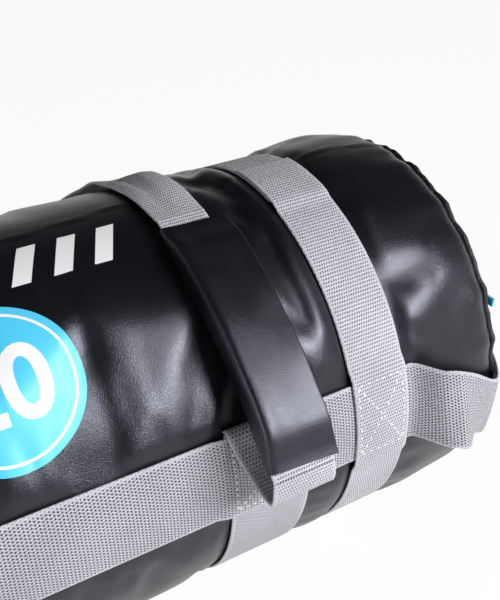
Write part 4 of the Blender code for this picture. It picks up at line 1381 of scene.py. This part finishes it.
def on_strap(x, angle):
    return body_point(x, angle, strap_lift(x) + THICK)


SEWN_BOXES = (("band", on_band, BAND_BOX, BAND_STITCH), ("strap", on_strap, STRAP_BOX, STRAP_STITCH))


class SANDBAG_OT_stitching(bpy.types.Operator):
    """Makes the stitches that hold the webbing together"""

    bl_idname = "sandbag.stitching"
    bl_label = "Stitching"

    def execute(self, context):
        colour = context.scene.sandbag_webbing.thread
        thread = cloth_material("sewing_thread", colour, 1800.0, 0.0001, (0.6, 0.8))
        for side, label in SIDES:
            for name, surface, box, stitch in SEWN_BOXES:
                runs = []
                for turn in (1, -1):
                    for line in box_with_cross(*box):
                        runs += dashes([(side * x, turn * angle) for x, angle in line], surface, *stitch)
                settle(stitch_object(f"{name}_stitches_{label}", runs), thread, "root")
        return {"FINISHED"}


# Prints

def draped_print(name, cell, tree, centre_x, centre_angle, levels, spacing=0.0025):
    """A flat print, x along and y round the bag in metres, is cut fine and laid on the cover."""
    low, high = levels
    for axis in (0, 1):
        values = [vertex.co[axis] for vertex in cell.verts]
        place = math.floor(min(values) / spacing) * spacing + spacing
        normal = Vector((1 - axis, axis, 0.0))
        while place < max(values):
            geom = cell.verts[:] + cell.edges[:] + cell.faces[:]
            bmesh.ops.bisect_plane(cell, geom=geom, dist=1e-7, plane_co=normal * place, plane_no=normal)
            place += spacing
    bmesh.ops.remove_doubles(cell, verts=cell.verts, dist=1e-6)
    upper = bmesh.ops.duplicate(cell, geom=cell.verts[:] + cell.edges[:] + cell.faces[:])
    top = {item for item in upper["geom"] if isinstance(item, bmesh.types.BMVert)}
    matched = dict(upper["vert_map"].items())
    for edge in [edge for edge in cell.edges if edge.is_boundary and edge.verts[0] not in top]:
        a, b = edge.verts
        cell.faces.new((a, b, matched[b], matched[a]))
    for vertex in cell.verts:
        x = centre_x + vertex.co.x
        angle = centre_angle - vertex.co.y / RADIUS
        vertex.co = on_skin(tree, x, angle, high if vertex in top else low)
    bmesh.ops.recalc_face_normals(cell, faces=cell.faces)
    obj = cell_object(name, cell)
    smooth_shade(obj.data, 60)
    return obj


def circle_of_points(cell, radius, columns):
    places = [(radius * math.cos(turn), radius * math.sin(turn), 0.0) for turn in turns(columns)]
    return [cell.verts.new(place) for place in places]


def join_circles(cell, inner, outer):
    """Quads between two circles of points, or a fan where the inner one is a single point."""
    for column, first in enumerate(outer):
        second = outer[(column + 1) % len(outer)]
        if len(inner) == 1:
            cell.faces.new((inner[0], first, second))
        else:
            cell.faces.new((inner[column], inner[(column + 1) % len(inner)], second, first))


def round_outline(radius, rings=16, columns=72):
    cell = bmesh.new()
    inner = [cell.verts.new((0.0, 0.0, 0.0))]
    for ring in range(1, rings + 1):
        outer = circle_of_points(cell, radius * ring / rings, columns)
        join_circles(cell, inner, outer)
        inner = outer
    return cell


def ring_outline(outer, inner, columns=96):
    cell = bmesh.new()
    rows = [circle_of_points(cell, radius, columns) for radius in (inner, outer)]
    join_circles(cell, *rows)
    return cell


def number_outline(text, height):
    """Flat digits in the built-in typeface, made bold."""
    curve = bpy.data.curves.new("digits", "FONT")
    curve.body = text
    curve.align_x = curve.align_y = "CENTER"
    curve.size = height * 1.38
    curve.offset = 0.0011
    curve.resolution_u = 6
    source = link(bpy.data.objects.new("digits", curve))
    graph = bpy.context.evaluated_depsgraph_get()
    mesh = bpy.data.meshes.new_from_object(source.evaluated_get(graph))
    bpy.data.objects.remove(source)
    cell = bmesh.new()
    cell.from_mesh(mesh)
    bmesh.ops.remove_doubles(cell, verts=cell.verts, dist=1e-6)
    ys = [vertex.co.y for vertex in cell.verts]
    for vertex in cell.verts:
        vertex.co.y -= (min(ys) + max(ys)) / 2
        vertex.co.z = 0.0
    return cell


def bar_outline(width, height, lean):
    cell = bmesh.new()
    corners = [((sx * width + sy * lean) / 2, sy * height / 2, 0.0) for sx, sy in CORNERS]
    cell.faces.new([cell.verts.new(corner) for corner in corners])
    return cell


class SANDBAG_OT_prints(bpy.types.Operator):
    """Lays the round badge, its number and the slanted bars on the cover"""

    bl_idname = "sandbag.prints"
    bl_label = "Prints"

    def execute(self, context):
        choice = context.scene.sandbag_prints
        tree = skin_tree(context)
        film = smooth_material("badge_film", choice.badge, 0.0, (0.36, 0.46), 0.25, 0.8)
        ink = smooth_material("print_ink", choice.ink, 0.0, (0.38, 0.5), 0.15)
        outline = round_outline(choice.radius)
        badge = draped_print("round_badge", outline, tree, 0.0, BADGE_ANGLE, BADGE_LEVELS)
        settle(badge, film, "root", "number_badge", slot="badge_film")
        ring = ring_outline(*(choice.radius * share for share in RING_SHARES))
        settle(draped_print("badge_ring", ring, tree, 0.0, BADGE_ANGLE, RING_LEVELS), ink, "root")
        digits = number_outline(choice.number, DIGIT_HEIGHT)
        settle(draped_print("badge_number", digits, tree, 0.0, BADGE_ANGLE, DIGIT_LEVELS), ink, "root")
        for index in range(choice.bars):
            x = BARS_X + index * BARS_STEP
            name = f"slanted_bar_{index + 1}"
            bar = draped_print(name, bar_outline(*BAR_SIZE), tree, x, BARS_ANGLE, BAR_LEVELS)
            settle(bar, ink, "root")
        return {"FINISHED"}


# Filling zip

def rounded_block(points, faces, low, high, inset):
    """Adds a box with chamfered edges to a list of points and faces."""
    base = len(points)
    middle = [(a + b) / 2 for a, b in zip(low, high)]
    half = [(b - a) / 2 for a, b in zip(low, high)]
    rows = ((-1.0, 1), (-1.0, 0), (1.0, 0), (1.0, 1))
    corners = (
        (1, 1, 0), (1, 1, 1), (-1, 1, 1), (-1, 1, 0), (-1, -1, 0), (-1, -1, 1), (1, -1, 1), (1, -1, 0),
    )
    for height, narrow in rows:
        for sx, sy, which in corners:
            tight = inset * (1 + narrow * 0.6)
            x = sx * (half[0] - (inset * narrow if which else tight))
            y = sy * (half[1] - (tight if which else inset * narrow))
            z = height * (half[2] - (0 if narrow else inset))
            points.append(Vector((middle[0] + x, middle[1] + y, middle[2] + z)))
    faces += [tuple(base + corner for corner in face) for face in tube_faces(4, 8)]
    faces += [tuple(range(base, base + 8)), tuple(range(base + 24, base + 32))]


def bevelled_copy(node, name, width):
    """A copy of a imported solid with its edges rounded."""
    obj = link(bpy.data.objects.new(name, bpy.data.objects[node].data.copy()))
    cell = bmesh.new()
    cell.from_mesh(obj.data)
    bmesh.ops.remove_doubles(cell, verts=cell.verts, dist=1e-6)
    bmesh.ops.dissolve_limit(cell, angle_limit=math.radians(2), verts=cell.verts, edges=cell.edges)
    cell.to_mesh(obj.data)
    cell.free()
    modify(obj, "BEVEL", width=width, segments=2, limit_method="ANGLE", angle_limit=math.radians(40))
    smooth_shade(obj.data, 35)
    return obj


def zip_tape(label, turn):
    """A tape of the zip, pressed thin beside the teeth, and the stitches along its outer edge."""
    low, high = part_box(f"zip_tape_{label}")
    middle = (low.z + high.z) / 2

    def spot(u, v, h):
        return Vector((low.x + h * (1 - 0.25 * bump(v * turn + 0.0004, 0.0007)), u, middle + v))

    stations = steps_between(low.y, high.y, 0.004)
    strip = webbing_mesh(f"zip_cloth_{label}", stations, high.z - low.z, spot, high.x - low.x)
    z = middle + turn * TAPE_STITCH_OUT
    stitches = []
    y = low.y + 0.003
    while y < high.y - 0.004:
        places = [y + TAPE_STITCH * step / (STITCH_POINTS - 1) for step in range(STITCH_POINTS)]
        stitches.append([(Vector((high.x, place, z)), Vector((1.0, 0.0, 0.0))) for place in places])
        y += TAPE_STITCH_STEP
    return strip, stitches


def zip_chain():
    """Teeth that reach in from the upper and the lower tape by turns."""
    points, faces = [], []
    for index in range(int((ZIP_HIGH.y - ZIP_LOW.y) / TOOTH_PITCH) * 2):
        turn = 1 if index % 2 else -1
        y = ZIP_LOW.y + (index + 0.5) * TOOTH_PITCH / 2
        near, far = ZIP_Z - turn * TOOTH_BACK, ZIP_Z + turn * TOOTH_FRONT
        small = (ZIP_LOW.x, y - TOOTH_HALF, min(near, far))
        large = (ZIP_HIGH.x + 0.0001, y + TOOTH_HALF, max(near, far))
        rounded_block(points, faces, small, large, 0.00018)
    return make_object("zip_chain", points, faces, smooth=35)


class SANDBAG_OT_zip(bpy.types.Operator):
    """Makes the filling zip: tapes, teeth, slider and pull"""

    bl_idname = "sandbag.zip"
    bl_label = "Filling Zip"

    def execute(self, context):
        tape = cloth_material("zip_tape_cloth", (0.006, 0.006, 0.007), 1400.0)
        nylon = smooth_material("zip_nylon", (0.012, 0.012, 0.013), 0.0, (0.35, 0.5))
        metal = smooth_material("zip_metal", (0.42, 0.42, 0.43), 1.0, (0.25, 0.4), 0.4)
        cord = cloth_material("pull_cloth", (0.06, 0.55, 0.88), 1200.0)
        stitches = []
        for turn, label in ((1, "upper"), (-1, "lower")):
            strip, seam = zip_tape(label, turn)
            settle(strip, tape, "root", f"zip_tape_{label}", slot="zip_cloth")
            stitches += seam
        settle(stitch_object("zip_stitches", stitches, 0.0003), tape, "root")
        settle(zip_chain(), nylon, "root", "zip_teeth", slot="zip_nylon")
        slider = bevelled_copy("zip_slider", "zip_slider_body", 0.0004)
        settle(slider, metal, "zip_slider", "zip_slider", slot="zip_metal")
        pull = bevelled_copy("zip_pull", "zip_pull_tab", 0.00035)
        settle(pull, cord, "zip_pull", "zip_pull", slot="pull")
        return {"FINISHED"}


# Filling

def pillow_object(number):
    """A sealed cloth bag of sand: a slack round pillow with gathered ends."""
    low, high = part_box(f"sand_bag_{number}")
    middle, half = (low + high) / 2, (high - low) / 2
    stations, columns = 34, 60
    points = []
    for station in range(stations + 1):
        share = station / stations * 2 - 1
        swell = max((1 - abs(share) ** 7) ** 0.5, 0.004)
        for angle in turns(columns):
            across, up = math.sin(angle), math.cos(angle)
            gather = 1 - 0.05 * abs(share) ** 5 * math.sin(angle * 19 + number)
            place = Vector((share * 2.2 + number * 3, up * 2, across * 2))
            dent = 1 - 0.035 * (0.5 + noise.noise(place))
            reach = half.y * swell * gather * dent * 0.995
            points.append(middle + Vector((half.x * share, -reach * across, reach * up)))
    return capped_tube(f"sand_pillow_{number}", points, stations + 1, columns)


def wadding_object():
    """A soft tube of wadding between the leather and the sand."""
    low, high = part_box("wadding_sleeve")
    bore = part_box("sand_bag_1")[1].y + 0.0006
    if high.y <= bore:
        raise RuntimeError("the wadding has no thickness left round the sand bags")
    columns = 120
    stations = steps_between(low.x, high.x, 0.009)
    points = []
    for inside in (False, True):
        for x in (reversed(stations) if inside else stations):
            for angle in turns(columns):
                place = Vector((x * 60, math.cos(angle) * 7, math.sin(angle) * 7 + 9 * inside))
                fluff = 0.0005 * noise.noise(place)
                if inside:
                    points.append(Vector((x, *polar(angle, bore + fluff * 0.4))))
                else:
                    points.append(body_point(x, angle, -(LEATHER + 0.0012) - abs(fluff)))
    return make_object("wadding_tube", points, tube_faces(len(stations) * 2, columns, True))


class SANDBAG_OT_filling(bpy.types.Operator):
    """Makes the wadding tube and the sealed sand bags inside it"""

    bl_idname = "sandbag.filling"
    bl_label = "Filling"

    def execute(self, context):
        felt = cloth_material("wadding_felt", (0.50, 0.49, 0.47), 500.0, 0.0006)
        canvas = cloth_material("sand_canvas", (0.28, 0.25, 0.20), 800.0)
        tube = wadding_object()
        settle(tube, felt, "root", "wadding_sleeve", slot="wadding")
        number = 1
        while f"sand_bag_{number}" in bpy.data.objects:
            pillow = pillow_object(number)
            settle(pillow, canvas, "root", f"sand_bag_{number}", slot="sand_cloth")
            number += 1
        return {"FINISHED"}


# Stage

def emptied(owner):
    """The bench of a material or world whose node tree has been cleared."""
    owner.use_nodes = True
    owner.node_tree.nodes.clear()
    return Bench(owner.node_tree)


def floor_material(colour):
    """A pale floor that the camera sees as white paper, with its shadow kept faint."""
    material = bpy.data.materials.new("floor_paper")
    bench = emptied(material)
    fibre = bench.noise(bench.stretched(), 40.0, 3.0)
    tone = bench.mix(fibre, tuple(colour), scaled(colour, 1.02))
    paper = bench.add("ShaderNodeBsdfDiffuse", {0: tone}).outputs[0]
    glow = bench.add("ShaderNodeEmission", {0: (1.0, 1.0, 1.0, 1.0), 1: 1.0}).outputs[0]
    path = bench.add("ShaderNodeLightPath").outputs
    mirrored = bench.math("MAXIMUM", path["Is Glossy Ray"], path["Is Transmission Ray"])
    seen = bench.math("MAXIMUM", path["Is Camera Ray"], mirrored)
    shader = bench.add("ShaderNodeMixShader", {0: bench.times(seen, FLOOR_GLOW), 1: paper, 2: glow})
    bench.add("ShaderNodeOutputMaterial", {0: shader.outputs[0]})
    return material


def studio_world(strength):
    """White round the horizon and dark overhead, as in a tent with its light at the sides."""
    world = bpy.data.worlds.new("studio")
    bench = emptied(world)
    coords = bench.add("ShaderNodeTexCoord").outputs["Generated"]
    height = bench.add("ShaderNodeSeparateXYZ", {0: coords}).outputs[2]
    tone = bench.mix(bench.spread(height, 0.03, 0.45), (1.0, 1.0, 1.0), (0.05, 0.05, 0.058))
    glow = bench.add("ShaderNodeBackground", {0: tone, 1: strength})
    bench.add("ShaderNodeOutputWorld", {0: glow.outputs[0]})
    bpy.context.scene.world = world


def aim(obj, place, view):
    """Puts a light or a camera in its place, looking along a direction."""
    obj.location = place
    obj.rotation_euler = view.to_track_quat("-Z", "Y").to_euler()


def area_light(name, place, target, width, height, power):
    light = bpy.data.lights.new(name, "AREA")
    light.shape = "RECTANGLE"
    light.size, light.size_y = width, height
    light.energy = power
    aim(link(bpy.data.objects.new(name, light)), place, Vector(target) - Vector(place))


class SANDBAG_OT_stage(bpy.types.Operator):
    """Makes the floor, the lights, the surroundings and the camera"""

    bl_idname = "sandbag.stage"
    bl_label = "Stage"

    def execute(self, context):
        scene = context.scene
        choice = scene.sandbag_stage
        corners = [(x * FLOOR_HALF, y * FLOOR_HALF, 0) for x, y in CORNERS]
        floor = make_object("floor", corners, [(0, 1, 2, 3)], outward=False)
        floor.data.materials.append(floor_material(choice.floor))
        studio_world(choice.fill)
        area_light("key_light", *KEY_LIGHT, choice.key)
        area_light("side_light", *SIDE_LIGHT, choice.side)
        camera = bpy.data.cameras.new("camera")
        camera.sensor_fit = "VERTICAL"
        camera.sensor_height = CAMERA_FILM
        camera.lens = CAMERA_LENS
        camera.clip_start = 0.01
        scene.camera = link(bpy.data.objects.new("camera", camera))
        aim(scene.camera, CAMERA_PLACE, CAMERA_VIEW)
        scene.view_settings.view_transform = "Standard"
        return {"FINISHED"}


PIECES = (
    SANDBAG_OT_cover, SANDBAG_OT_ends, SANDBAG_OT_bands, SANDBAG_OT_end_loops, SANDBAG_OT_handles,
    SANDBAG_OT_grips, SANDBAG_OT_stitching, SANDBAG_OT_prints, SANDBAG_OT_zip, SANDBAG_OT_filling,
    SANDBAG_OT_stage,
)
SETTINGS = {
    "sandbag_cover": SANDBAG_PG_cover,
    "sandbag_webbing": SANDBAG_PG_webbing,
    "sandbag_grips": SANDBAG_PG_grips,
    "sandbag_prints": SANDBAG_PG_prints,
    "sandbag_stage": SANDBAG_PG_stage,
}


class SANDBAG_PT_sidebar(bpy.types.Panel):
    """Buttons and settings of the sandbag trainer"""

    bl_idname = "SANDBAG_PT_sidebar"
    bl_label = "Sandbag Trainer"
    bl_space_type = "VIEW_3D"
    bl_region_type = "UI"
    bl_category = "Sandbag"

    def draw(self, context):
        for piece in PIECES:
            self.layout.operator(piece.bl_idname)
        for name in SETTINGS:
            group = getattr(context.scene, name)
            box = self.layout.box()
            for field in group.__annotations__:
                box.prop(group, field)


def register():
    for group in SETTINGS.values():
        bpy.utils.register_class(group)
    for piece in (*PIECES, SANDBAG_PT_sidebar):
        bpy.utils.register_class(piece)
    for name, group in SETTINGS.items():
        setattr(bpy.types.Scene, name, PointerProperty(type=group))


def unregister():
    for name in SETTINGS:
        delattr(bpy.types.Scene, name)
    for piece in (SANDBAG_PT_sidebar, *reversed(PIECES)):
        bpy.utils.unregister_class(piece)
    for group in reversed(SETTINGS.values()):
        bpy.utils.unregister_class(group)


def main():
    register()
    for piece in PIECES:
        family, name = piece.bl_idname.split(".")
        getattr(getattr(bpy.ops, family), name)()


if __name__ == "__main__":
    main()
